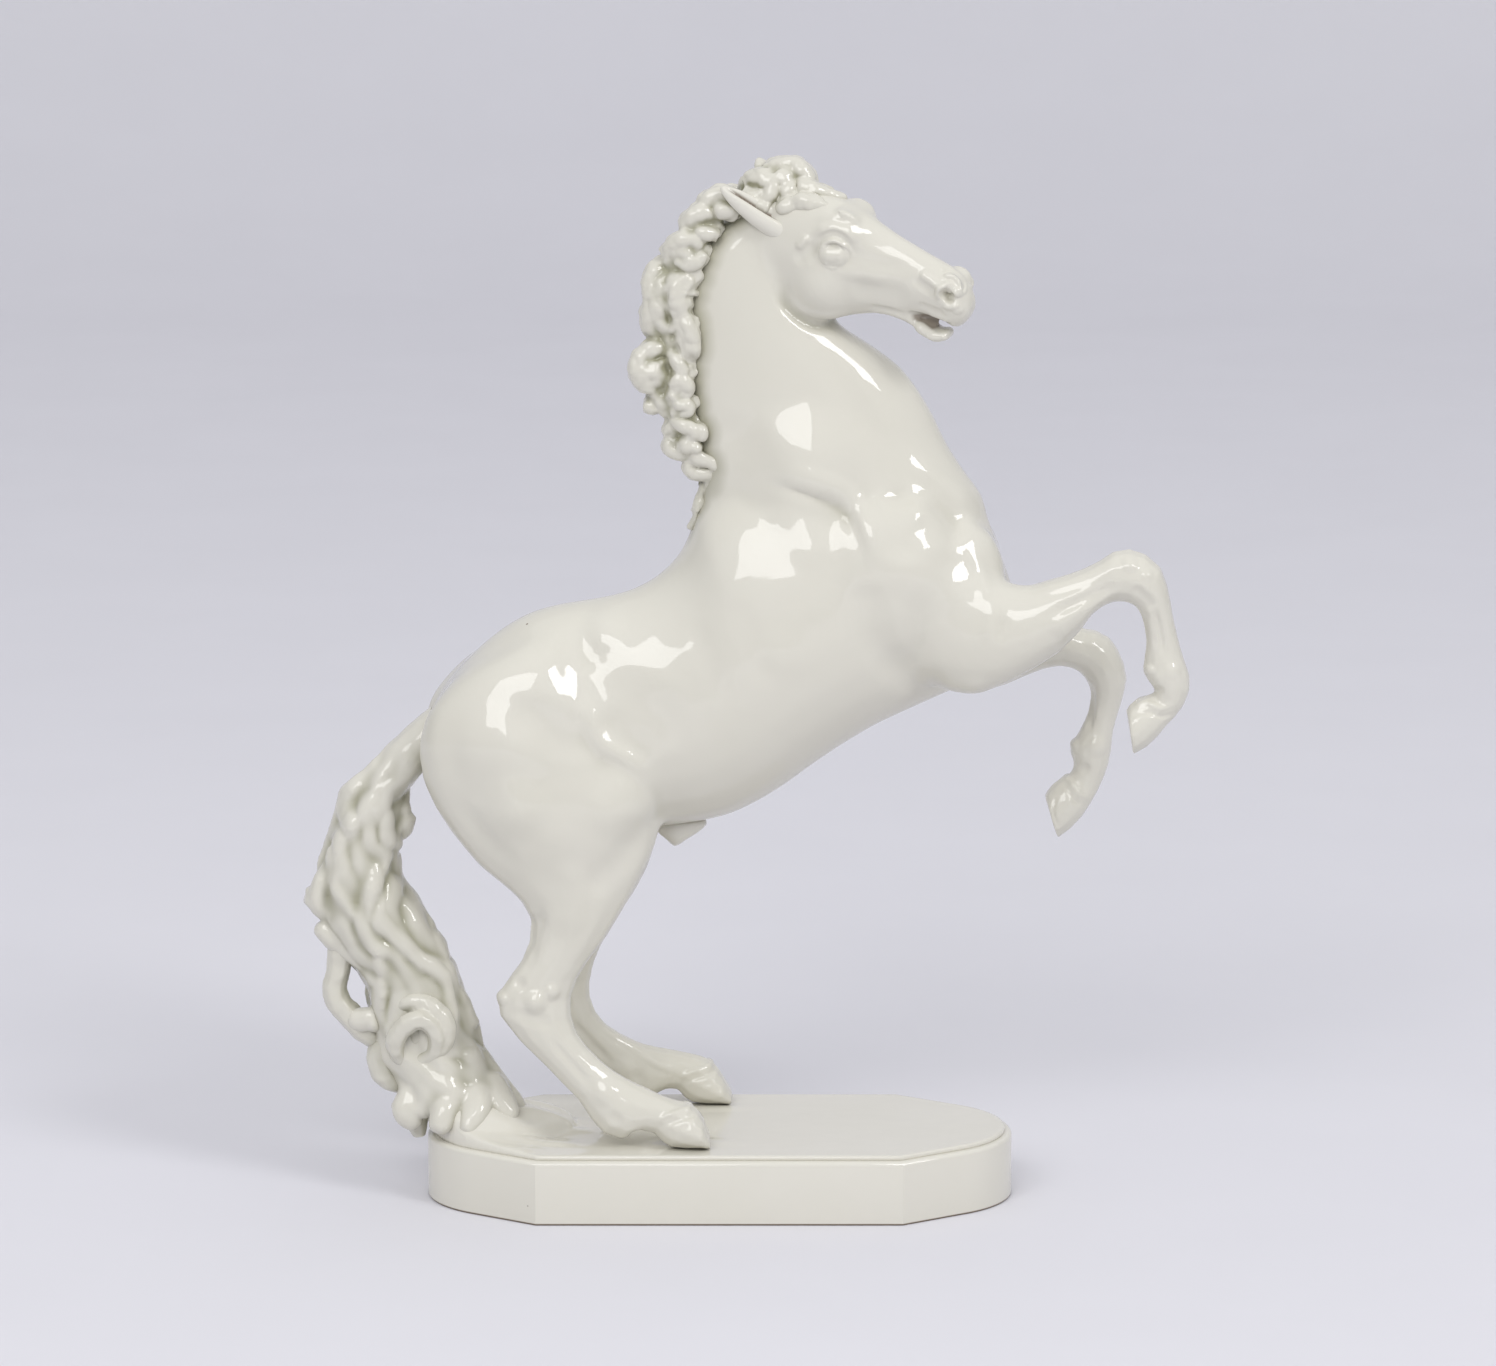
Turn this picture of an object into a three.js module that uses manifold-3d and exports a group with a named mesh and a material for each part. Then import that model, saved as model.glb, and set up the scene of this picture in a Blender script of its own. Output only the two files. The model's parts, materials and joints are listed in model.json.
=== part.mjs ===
// A rearing horse in glazed porcelain on a low plinth, in millimetres, +Z up.
// The horse faces +X and shows its right side to -Y. The whole body is shaped once from lofts and
// swellings, then cut at the seams where the cast members of such a figure are luted together.
import * as THREE from "three";
import { mergeVertices } from "three/addons/utils/BufferGeometryUtils.js";
import Module from "manifold-3d";

const wasm = await Module();
wasm.setup();

// Driving dimensions of the joins and walls
const SEAM = 0.3; // the slip joint between two luted members
const BODY_WALL = 5; // cast wall of the hollow torso, neck and head
const HOOF_SEAT = 0.3; // the slip joint under a hoof or under the tail
const LOCK_SEAM = 0.5; // between two locks of hair, where the slip joint is thicker

// Plinth
const PLINTH_HEIGHT = 24.5;
const PLINTH_HALF_DEPTH = 49;
const PLINTH_HALF_FLAT = 69; // half length of the straight front edge
const PLINTH_END_RADIUS = 39;
const PLINTH_END_CENTRE = 72.5; // from the middle of the plinth to the centre of its end arc
const PLINTH_EDGE_ROUND = 1.6; // the glaze rounds the upper edge
const PLINTH_FOOT_ROUND = 0.6;
const PLINTH_WALL = 6;
const PLINTH_ROOF = 5;

// Ground slab that carries the hooves and the tail
const GROUND_RISE = 1.8; // top of the slab above the top of the plinth
const GROUND_INSET = 2.6;
const GROUND_EDGE_ROUND = 0.9;
const MOUND_X = -90;
const MOUND_LENGTH = 70;
const MOUND_WIDTH = 50;
const MOUND_HEIGHT = 9;

// Vent that let the air out of the hollow body in the kiln, between the thighs
const VENT_RADIUS = 1.5;
const VENT_X = -52;
const VENT_Z = 113;

// Head: the poll is the joint it turns about, and the horse looks a little to its right
const POLL = new THREE.Vector3(17, 0, 340);
const HEAD_PITCH = 31; // degrees that the face slopes down
const HEAD_TURN = 18;
const HEAD_TILT = 10;

// Ears, rooted behind the poll: forward, sideways and up from it
const RIGHT_EAR_ROOT = new THREE.Vector3(6.5, -10.5, 5.5);
const RIGHT_EAR_TILT = 146;
const LEFT_EAR_ROOT = new THREE.Vector3(10, 8.5, 6);
const LEFT_EAR_TILT = 151;
const EAR_LENGTH = 27;
const EAR_WIDTH = 9.5;
const EAR_THICKNESS = 5.5;
const EAR_SLIT_WIDTH = 3.2;
const EAR_SLIT_DEPTH = 2.2;

// Facets round a section, coarse because the glaze is smoothed later
const TRUNK_SIDES = 24;
const NECK_SIDES = 20;
const HEAD_SIDES = 16;
const JAW_SIDES = 8;
const LEG_SIDES = 12;
const TAIL_SIDES = 12;
const LOCK_SIDES = 6;
const STRAND_SIDES = 5;
const EAR_SIDES = 10;

// Blocks that only cut reach past the whole figure, and a seam's block overhangs its line
const REACH = 400;
const SEAM_OVERHANG = 60;

const GLAZE = { color: 0xebe8df, roughness: 0.15, metalness: 0 };

// Turns a closed three.js geometry into a solid.
function solid(geometry) {
  const bare = geometry.clone();
  bare.deleteAttribute("normal");
  bare.deleteAttribute("uv");
  const merged = mergeVertices(bare, 1e-4);
  return new wasm.Manifold(
    new wasm.Mesh({
      numProp: 3,
      vertProperties: new Float32Array(merged.getAttribute("position").array),
      triVerts: new Uint32Array(merged.index.array),
    }),
  );
}

// Turns a solid back into a three.js geometry.
function geometryOf(body) {
  const mesh = body.getMesh();
  const positions = new Float32Array(mesh.numVert * 3);
  for (let i = 0; i < mesh.numVert; i += 1) {
    const start = i * mesh.numProp;
    positions.set(mesh.vertProperties.subarray(start, start + 3), i * 3);
  }
  const geometry = new THREE.BufferGeometry();
  geometry.setAttribute("position", new THREE.BufferAttribute(positions, 3));
  geometry.setIndex(new THREE.BufferAttribute(mesh.triVerts, 1));
  geometry.computeVertexNormals();
  return geometry;
}

const middleOf = (ring) => {
  const sum = ring.reduce((total, point) => total.add(point), new THREE.Vector3());
  return sum.divideScalar(ring.length);
};

// Moves the first and last ring outwards, so that a grown loft is longer as well as thicker.
function lengthened(rings, grow) {
  const shift = (ring, inner) => {
    const outward = middleOf(ring).sub(middleOf(inner)).setLength(grow);
    return ring.map((point) => point.clone().add(outward));
  };
  return [shift(rings[0], rings[1]), ...rings.slice(1, -1), shift(rings.at(-1), rings.at(-2))];
}

// Skins a list of rings of equal length and closes both ends with a fan.
function ringLoft(rings) {
  const sides = rings[0].length;
  const points = rings.flat();
  const index = [];
  for (let r = 0; r + 1 < rings.length; r += 1) {
    for (let s = 0; s < sides; s += 1) {
      const a = r * sides + s;
      const b = r * sides + ((s + 1) % sides);
      index.push(a, b, b + sides, a, b + sides, a + sides);
    }
  }
  const first = points.push(middleOf(rings[0])) - 1;
  const last = points.push(middleOf(rings.at(-1))) - 1;
  const end = (rings.length - 1) * sides;
  for (let s = 0; s < sides; s += 1) {
    const next = (s + 1) % sides;
    index.push(first, next, s);
    index.push(last, end + s, end + next);
  }
  const geometry = new THREE.BufferGeometry().setFromPoints(points);
  geometry.setIndex(index);
  const body = solid(geometry);
  if (body.volume() > 0) return body;
  for (let i = 0; i < index.length; i += 3) [index[i + 1], index[i + 2]] = [index[i + 2], index[i + 1]];
  geometry.setIndex(index);
  return solid(geometry);
}

// A member lofted through stations. A station is [x, z] of a point on one side outline, [x, z] of
// the point opposite, the y of its middle, its half width in y, and how far it swells to one side.
function member(stations, sides, rings, grow = 0) {
  const along = (pick) => new THREE.CatmullRomCurve3(stations.map(pick), false, "centripetal");
  const upper = along((s) => new THREE.Vector3(s[0], 0, s[1]));
  const lower = along((s) => new THREE.Vector3(s[2], 0, s[3]));
  const across = along((s) => new THREE.Vector3(s[4], s[5], s[6] ?? 0));
  const skin = [];
  for (let r = 0; r < rings; r += 1) {
    const t = r / (rings - 1);
    const a = upper.getPoint(t);
    const b = lower.getPoint(t);
    const { x: middleY, y: halfWidth, z: swell } = across.getPoint(t);
    const centre = a.clone().add(b).multiplyScalar(0.5).setY(middleY);
    const depth = a.clone().sub(b).multiplyScalar(0.5);
    depth.setLength(Math.max(depth.length() + grow, 0.6));
    const width = Math.max(halfWidth + grow, 0.6);
    const ring = [];
    for (let s = 0; s < sides; s += 1) {
      const angle = (2 * Math.PI * s) / sides;
      const point = centre.clone().addScaledVector(depth, Math.cos(angle));
      point.y += width * Math.sin(angle) * (1 + swell * Math.cos(angle));
      ring.push(point);
    }
    skin.push(ring);
  }
  return ringLoft(lengthened(skin, grow));
}

// A lock of hair: a round section that swells and tapers along a path of [x, y, z, radius] points.
function lock(path, sides, rings, grow = 0, flatten = 1) {
  const route = new THREE.CatmullRomCurve3(path.map((p) => new THREE.Vector3(p[0], p[1], p[2])));
  const girth = new THREE.CatmullRomCurve3(path.map((p) => new THREE.Vector3(p[3], 0, 0)));
  const side = new THREE.Vector3(0, 1, 0);
  const skin = [];
  for (let r = 0; r < rings; r += 1) {
    const t = r / (rings - 1);
    const centre = route.getPoint(t);
    const tangent = route.getTangent(t);
    const radius = Math.max(girth.getPoint(t).x, 0.4) + grow;
    const out = side.clone().cross(tangent).normalize();
    const across = tangent.clone().cross(out);
    const ring = [];
    for (let s = 0; s < sides; s += 1) {
      const angle = (2 * Math.PI * s) / sides;
      const point = centre.clone().addScaledVector(out, radius * Math.cos(angle));
      ring.push(point.addScaledVector(across, radius * flatten * Math.sin(angle)));
    }
    skin.push(ring);
  }
  return ringLoft(lengthened(skin, grow));
}

// An egg-shaped swelling, turned about the y axis by a tilt in degrees.
function swelling([x, y, z], [lengthwise, sideways, upwards], tilt = 0, grow = 0) {
  const ball = new THREE.SphereGeometry(1, 12, 8);
  ball.scale(lengthwise + grow, sideways + grow, upwards + grow);
  ball.rotateY(-THREE.MathUtils.degToRad(tilt));
  ball.translate(x, y, z);
  return solid(ball);
}

function box(low, high) {
  const size = high.map((value, axis) => value - low[axis]);
  const block = new THREE.BoxGeometry(...size);
  block.translate(...low.map((value, axis) => value + size[axis] / 2));
  return solid(block);
}

const joined = (bodies) => bodies.reduce((whole, body) => whole.add(body));

// The largest body of a solid, without slivers that a cut may leave.
const mainBody = (body) => body.decompose().reduce((a, b) => (a.volume() > b.volume() ? a : b));

// Stations of the trunk, from the rump to the point of the chest: back first, belly opposite.
const TRUNK = [
  [-108, 164, -109, 146, 0, 7],
  [-99, 176.5, -99, 132, 0, 21],
  [-86, 190, -84, 118, 0, 31, -0.05],
  [-69, 200.5, -63, 111, 0, 34, -0.05],
  [-51, 203.5, -42, 112.5, 0, 34, -0.05],
  [-34, 207, -22, 117.3, 0, 34.5, -0.08],
  [-21, 214.5, 0.5, 120.5, 0, 36, -0.1],
  [-12, 226, 20, 130, 0, 38, -0.12],
  [-8, 240, 37, 142.3, 0, 39, -0.12],
  [3, 250, 58, 155.8, 0, 38, -0.1],
  [25, 258, 79, 165.5, 0, 34.5, -0.05],
  [55, 256, 96, 174, 0, 29, 0],
  [84, 245, 107, 190, 0, 21, 0],
  [101, 234, 111, 206, 0, 11, 0],
];

// Stations of the neck, from inside the trunk to the poll: crest first, throat opposite.
const NECK = [
  [-2, 222, 103, 208, 0, 27, -0.05],
  [-7, 240, 100.5, 240.8, 0, 26.5, -0.08],
  [-9.5, 262, 88, 258.3, 0, 23.5, -0.1],
  [-12.5, 279, 79, 276.7, 0, 20.5, -0.1],
  [-14, 295, 68.2, 292.2, 0, 18, -0.1],
  [-14, 310, 55.5, 301.2, 0, 16, -0.1],
  [-12, 326, 44, 309, 0, 14.3, -0.1],
  [-5, 341, 38, 318, 0, 12.8, -0.1],
  [9, 354, 34, 330, 0, 10.5, 0],
];

// Stations of the head looking straight ahead, from the poll to the upper lip: brow and nose first,
// jaw and lip line opposite. It is then turned and tilted about the poll.
const HEAD = [
  [6, 352, 13.5, 333, 0, 8],
  [17, 358.5, 22, 323, 0, 11.5],
  [31, 360.5, 32, 316, 0, 13, -0.05],
  [44, 359.5, 44, 312.8, 0, 13.5, -0.05],
  [55, 354.8, 54, 313, 0, 12, 0],
  [64, 349.3, 62, 314.3, 0, 10, 0],
  [73, 343.5, 71, 313.4, 0, 8.6],
  [81.5, 338.6, 79, 315, 0, 7.9],
  [89, 334.8, 87, 313.8, 0, 8],
  [95, 331, 92.5, 311, 0, 7.6],
  [98.5, 325, 96, 313, 0, 5.8],
  [99.3, 320.5, 98.2, 316, 0, 3.5],
];

// Stations of the dropped lower jaw, from under the cheek to the lip: inside of the mouth first.
const LOWER_JAW = [
  [70, 317, 69, 313.4, 0, 5.5],
  [76.5, 315, 75.5, 311.2, 0, 5.2],
  [81, 312, 79.5, 308.4, 0, 5.2],
  [85.5, 308.8, 84.3, 305, 0, 5],
  [89.6, 309.3, 89, 306.3, 0, 3.6],
];

// Pairs of swellings on the head: centre, half sizes, tilt
const HEAD_SWELLINGS = [
  [[42, 6, 328], [14.5, 8, 16.5], 20], // cheek
  [[52.3, 9, 350], [7.5, 4.5, 6.5], -28], // ridge over the eye
  [[91.8, 5, 327.6], [5.5, 4, 5.2], -30], // wing of the nostril
];

// Stations of a thigh, from the hip to above the gaskin: front first, buttock opposite.
const THIGH = [
  [-64, 195, -95, 180, 15, 12],
  [-49, 188, -106, 170, 17.5, 17],
  [-38, 172, -113.2, 155, 18.5, 20],
  [-28, 144, -111.3, 136, 18.8, 20.5],
  [-21.8, 126, -104, 122.5, 19.5, 19],
];

// Stations of the hind legs below the thigh, to the toe: shin first, heel side opposite.
const RIGHT_HIND = [
  [-22.8, 115, -92, 107, 21, 16.5],
  [-28.5, 102.5, -78.5, 96.5, 23, 13.5],
  [-36.5, 89.5, -71.3, 88.5, 24.5, 11],
  [-44, 77.5, -71.5, 78, 25.5, 9],
  [-51, 68.5, -75.5, 68, 26.3, 8],
  [-55.8, 58, -83, 59, 27, 7.8],
  [-55.6, 48, -82, 48.5, 28, 7.6],
  [-51.8, 40, -69, 34.5, 29, 6.8],
  [-45.5, 33, -59, 24, 30, 6],
  [-38, 27.5, -51, 15.5, 31, 6.2],
  [-31.5, 24, -45.5, 6.5, 31.7, 7.8],
  [-26, 21.5, -36.5, 3, 32, 8.2],
  [-21, 19.3, -26.5, 7, 32.3, 7],
  [-16, 17.8, -22, 2.6, 32.6, 8],
  [-10.5, 16.4, -18, HOOF_SEAT, 33, 9.6],
  [-7, 13, -9, HOOF_SEAT, 33, 10.4],
  [-3.8, 4, -3.6, HOOF_SEAT, 33, 7.5],
];
const LEFT_HIND = [
  [-23, 109, -90, 106, 21, 16.5],
  [-27.5, 95, -76.5, 95, 23, 13.3],
  [-35, 82.5, -68.5, 85, 24.5, 10.8],
  [-42, 71, -67.5, 74, 25.5, 9],
  [-47, 61.5, -71, 64.5, 26.3, 8],
  [-50, 51, -78, 54, 27, 7.8],
  [-49.8, 42, -76.5, 43, 28, 7.6],
  [-46, 34, -63, 27.5, 29, 6.8],
  [-39, 27.8, -52, 18.5, 30, 6],
  [-31.5, 24.3, -43, 10.5, 31, 6.4],
  [-25, 22.5, -36.5, 4, 31.7, 7.8],
  [-18.5, 21.2, -27.5, 2.5, 32, 8],
  [-12.5, 19.8, -18, 7, 32.3, 7],
  [-7.5, 18.5, -14, 2.6, 32.6, 8],
  [-3, 16.3, -10, HOOF_SEAT, 33, 9.6],
  [0, 12, -1.5, HOOF_SEAT, 33, 10.4],
  [4.5, 4, 4, HOOF_SEAT, 33, 7.5],
];

// Stations of the forelegs, from inside the chest to the sole: upper side first, underside opposite.
const RIGHT_FORE = [
  [84, 232, 74, 176, 20, 13],
  [100, 218, 94, 171, 22.5, 15],
  [113, 213.5, 108.5, 177, 24.5, 13.8],
  [124, 216, 120, 184, 25.3, 12],
  [134, 219.3, 131, 192.5, 26, 10.2],
  [141.5, 223, 138.5, 203, 26, 8.8],
  [148.5, 227.3, 144.5, 207.2, 26, 8.6],
  [157, 226.4, 150.5, 208, 26, 9],
  [164.5, 220, 154.5, 206.6, 26, 9],
  [167.3, 211, 156.8, 204, 26, 7.8],
  [169, 202, 158.6, 198, 26, 6.4],
  [171, 193.5, 159.4, 192, 26, 5.8],
  [173, 186.5, 158.6, 186, 26, 6.6],
  [175.5, 179.5, 158.4, 181, 26, 7.6],
  [175, 172, 161, 177, 26, 7],
  [170.5, 164.5, 163, 173.5, 26, 5.8],
  [166.5, 160.3, 158.5, 171.6, 26, 7],
  [161.5, 154, 154, 169, 26, 9],
  [154.8, 149.8, 152.3, 166.6, 26, 9.4],
];
const LEFT_FORE = [
  [84, 228, 74, 172, 20, 13],
  [99, 212, 94, 163.5, 22.5, 15],
  [112, 203, 108, 165.5, 24.5, 13.8],
  [123, 196.5, 120, 171.3, 25.5, 12],
  [132, 190.5, 129, 173.5, 26.3, 9.6],
  [140, 187, 135.5, 172, 27, 8.8],
  [147.5, 184.8, 139, 169, 27, 8.8],
  [152, 178.5, 141, 165.5, 27, 9],
  [155, 169.5, 141.6, 162, 27, 8],
  [153.8, 161.5, 141, 157, 27, 6.4],
  [151.6, 154, 139.8, 152.3, 27, 5.8],
  [150, 147.5, 136.8, 146.5, 27, 6.6],
  [149.5, 141.5, 133.6, 141, 27, 7.6],
  [148.3, 134.5, 135.4, 136, 27, 6.8],
  [145.5, 127, 134.5, 131.5, 27, 5.8],
  [142, 120, 129.8, 129, 27, 7.2],
  [136.5, 112, 126, 125.5, 27, 9],
  [129.5, 106.2, 124.6, 122.5, 27, 9.4],
];

// Stations of the tail, from inside the rump to the ground: outer side first, inner side opposite.
const TAIL = [
  [-103, 168, -103, 142, 0, 8],
  [-113, 159.3, -111.5, 139, 0, 9.5],
  [-120.2, 152.9, -115, 134.5, 0, 10],
  [-128.2, 144.8, -119.5, 129.5, 0, 9.5],
  [-136.2, 135.8, -121.5, 124, 0, 9.5],
  [-142, 125.2, -121, 117.5, 0, 10.5],
  [-145.8, 113.5, -123.3, 109.5, 0, 11.5],
  [-149.5, 102, -123.8, 100.5, 0, 12],
  [-152, 91, -118.5, 90.5, 0, 12.5],
  [-150, 79.5, -110.5, 79, 0, 13],
  [-141.5, 67, -103.8, 67.5, 0, 13],
  [-132.8, 55, -98.8, 55, 0, 13],
  [-132, 43, -94.8, 42, 0, 13.5],
  [-130, 29, -90.3, 30, -0.5, 14.5],
  [-121, 17, -86, 18, -1, 16],
  [-112, 7, -81.5, 9, -1, 17.5],
  [-108.5, HOOF_SEAT, -78, HOOF_SEAT, -1, 18],
];

// Plan of the plinth at a given inset, counter-clockwise from the front left corner. The flank is
// the tangent from the front corner to the end arc, so insets keep every edge parallel.
function plan(inset, height) {
  const dx = PLINTH_HALF_FLAT - PLINTH_END_CENTRE;
  const reach = Math.hypot(dx, PLINTH_HALF_DEPTH);
  const start = Math.atan2(-PLINTH_HALF_DEPTH, dx) + Math.acos(PLINTH_END_RADIUS / reach);
  const cornerShift = Math.cos(start) / (1 - Math.sin(start));
  const cornerX = PLINTH_HALF_FLAT - inset * cornerShift;
  const cornerY = PLINTH_HALF_DEPTH - inset;
  const radius = PLINTH_END_RADIUS - inset;
  const arcSteps = 12;
  const half = [[cornerX, -cornerY]];
  for (let i = 0; i <= arcSteps; i += 1) {
    const angle = start * (1 - (2 * i) / arcSteps);
    half.push([PLINTH_END_CENTRE + radius * Math.cos(angle), radius * Math.sin(angle)]);
  }
  half.push([cornerX, cornerY]);
  const other = half.map(([x, y]) => [-x, -y]);
  return [...half, ...other].map(([x, y]) => new THREE.Vector3(x, y, height));
}

// A slab on the plinth's plan with a rounded upper edge and an eased lower edge.
function slab(inset, low, high, topRound, footRound) {
  const steps = 3;
  const rings = [];
  if (footRound > 0) rings.push(plan(inset + footRound, low));
  rings.push(plan(inset, low + footRound));
  for (let i = 0; i <= steps; i += 1) {
    const angle = (Math.PI / 2) * (i / steps);
    rings.push(plan(inset + topRound * (1 - Math.cos(angle)), high - topRound * (1 - Math.sin(angle))));
  }
  return ringLoft(rings);
}

// Heights above the table of what the figure stands on
const GROUND_TOP = PLINTH_HEIGHT + GROUND_RISE;

function plinth() {
  const block = slab(0, 0, PLINTH_HEIGHT, PLINTH_EDGE_ROUND, PLINTH_FOOT_ROUND);
  const hollow = ringLoft([plan(PLINTH_WALL, -1), plan(PLINTH_WALL, PLINTH_HEIGHT - PLINTH_ROOF)]);
  return block.subtract(hollow);
}

// The ground slab in the figure's own heights, where z = 0 is its top.
function ground(grow = 0) {
  const seat = SEAM - GROUND_RISE;
  const plate = slab(GROUND_INSET - grow, seat, grow, GROUND_EDGE_ROUND, 0);
  const mound = swelling(
    [MOUND_X, 0, 0],
    [MOUND_LENGTH / 2, MOUND_WIDTH / 2, MOUND_HEIGHT],
    0,
    grow,
  );
  const above = box([-REACH, -REACH, seat], [REACH, REACH, REACH]);
  const withinPlan = ringLoft([plan(GROUND_INSET - grow, seat), plan(GROUND_INSET - grow, REACH)]);
  return plate.add(mound.intersect(above).intersect(withinPlan));
}

const mirrored = (stations) => stations.map(([ax, az, bx, bz, y, ...rest]) => [ax, az, bx, bz, -y, ...rest]);

// Swellings of muscle and bone: centre, half sizes, tilt. Those off the middle come in pairs.
const PAIRED_SWELLINGS = [
  [[60, 22, 214], [30, 15, 36], -25], // shoulder blade and its muscle
  [[86, 15, 217], [21, 13, 22], -20], // upper arm at the chest
  [[-82, 18, 164], [20, 16, 24], -30], // croup
  [[-38, 19, 141], [17, 17, 20], 30], // stifle
];

// Turns a solid of the head about the poll: tilted about its own length, then turned sideways.
function posed(body) {
  const toPoll = new THREE.Matrix4().makeTranslation(-POLL.x, -POLL.y, -POLL.z);
  const pitch = THREE.MathUtils.degToRad(HEAD_PITCH);
  const lengthwise = new THREE.Vector3(Math.cos(pitch), 0, -Math.sin(pitch));
  const tilt = new THREE.Matrix4().makeRotationAxis(lengthwise, THREE.MathUtils.degToRad(HEAD_TILT));
  const turn = new THREE.Matrix4().makeRotationZ(-THREE.MathUtils.degToRad(HEAD_TURN));
  const back = new THREE.Matrix4().makeTranslation(POLL.x, POLL.y, POLL.z);
  return body.transform(back.multiply(turn).multiply(tilt).multiply(toPoll).elements);
}

function head(grow) {
  const pairs = HEAD_SWELLINGS.flatMap(([[x, y, z], size, tilt]) => [
    swelling([x, -y, z], size, tilt, grow),
    swelling([x, y, z], size, tilt, grow),
  ]);
  const skull = member(HEAD, HEAD_SIDES, 18, grow);
  const jaw = member(LOWER_JAW, JAW_SIDES, 8, grow);
  return posed(joined([skull, jaw, ...pairs]));
}

// The body's outer skin, optionally grown to leave a seam round it.
function skin(grow = 0) {
  const right = (stations, rings) => member(mirrored(stations), LEG_SIDES, rings, grow);
  const left = (stations, rings) => member(stations, LEG_SIDES, rings, grow);
  const muscles = PAIRED_SWELLINGS.flatMap(([[x, y, z], size, tilt]) => [
    swelling([x, -y, z], size, tilt, grow),
    swelling([x, y, z], size, tilt, grow),
  ]);
  return joined([
    member(TRUNK, TRUNK_SIDES, 24, grow),
    member(NECK, NECK_SIDES, 15, grow),
    head(grow),
    right([...THIGH, ...RIGHT_HIND], 30),
    left([...THIGH, ...LEFT_HIND], 30),
    right(RIGHT_FORE, 26),
    left(LEFT_FORE, 26),
    ...muscles,
  ]);
}

// The hollow that slip casting leaves inside the torso, the neck and the head.
function cavity() {
  return joined([
    member(TRUNK.slice(1, -1), 12, 10, -BODY_WALL),
    member(NECK, 12, 8, -BODY_WALL),
    posed(member(HEAD.slice(1, 7), 10, 5, -BODY_WALL)),
    member(THIGH.slice(1), 8, 4, -BODY_WALL),
    member(mirrored(THIGH.slice(1)), 8, 4, -BODY_WALL),
  ]);
}

// A block whose inner face lies on a seam through two side-view points and which holds the limb
// beyond it. The seam's inner and outer faces lie half a seam to either side.
function beyond([ax, az], [bx, bz], lowY, highY, shift) {
  const span = Math.hypot(ax - bx, az - bz) + 2 * SEAM_OVERHANG;
  const block = new THREE.BoxGeometry(span, highY - lowY, REACH);
  block.translate(0, (highY + lowY) / 2, REACH / 2 + shift);
  block.rotateY(-Math.atan2(bz - az, bx - ax));
  block.translate((ax + bx) / 2, 0, (az + bz) / 2);
  return solid(block);
}

// Seams of the luted members, each a line in the side view, outer end first
const NECK_SEAM = [[-30, 243], [130, 243]];
const HEAD_SEAM = [[0, 352], [31, 308]];
const THROAT_SEAM = [[-30, 305], [100, 305]]; // keeps the head's seam off the front of the neck
const HIND_SEAM = [[-16, 105.5], [-96, 95.5]];
const RIGHT_FORE_SEAM = [[115.2, 214], [111, 175]];
const LEFT_FORE_SEAM = [[115.5, 202], [110.5, 164]];

// The cast members: every limb is what lies beyond its seam, and the torso is what is left.
function castMembers() {
  const whole = skin().subtract(cavity());
  const headRegion = (shift) =>
    beyond(...HEAD_SEAM, -60, 60, shift).intersect(beyond(...THROAT_SEAM, -60, 60, shift));
  const regions = {
    neck: (shift) => beyond(...NECK_SEAM, -60, 60, shift),
    right_hind_leg: (shift) => beyond(...HIND_SEAM, -60, 0, shift),
    left_hind_leg: (shift) => beyond(...HIND_SEAM, 0, 60, shift),
    right_foreleg: (shift) => beyond(...RIGHT_FORE_SEAM, -60, 0, shift),
    left_foreleg: (shift) => beyond(...LEFT_FORE_SEAM, 0, 60, shift),
  };
  const members = { head: whole.intersect(headRegion(SEAM / 2)) };
  let torso = whole;
  for (const [name, region] of Object.entries(regions)) {
    members[name] = whole.intersect(region(SEAM / 2));
    torso = torso.subtract(region(-SEAM / 2));
  }
  members.neck = members.neck.subtract(headRegion(-SEAM / 2));
  const vent = new THREE.CylinderGeometry(VENT_RADIUS, VENT_RADIUS, 3 * BODY_WALL, 16);
  vent.rotateX(Math.PI / 2);
  vent.translate(VENT_X, 0, VENT_Z);
  members.torso = torso.subtract(solid(vent));
  return members;
}

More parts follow.
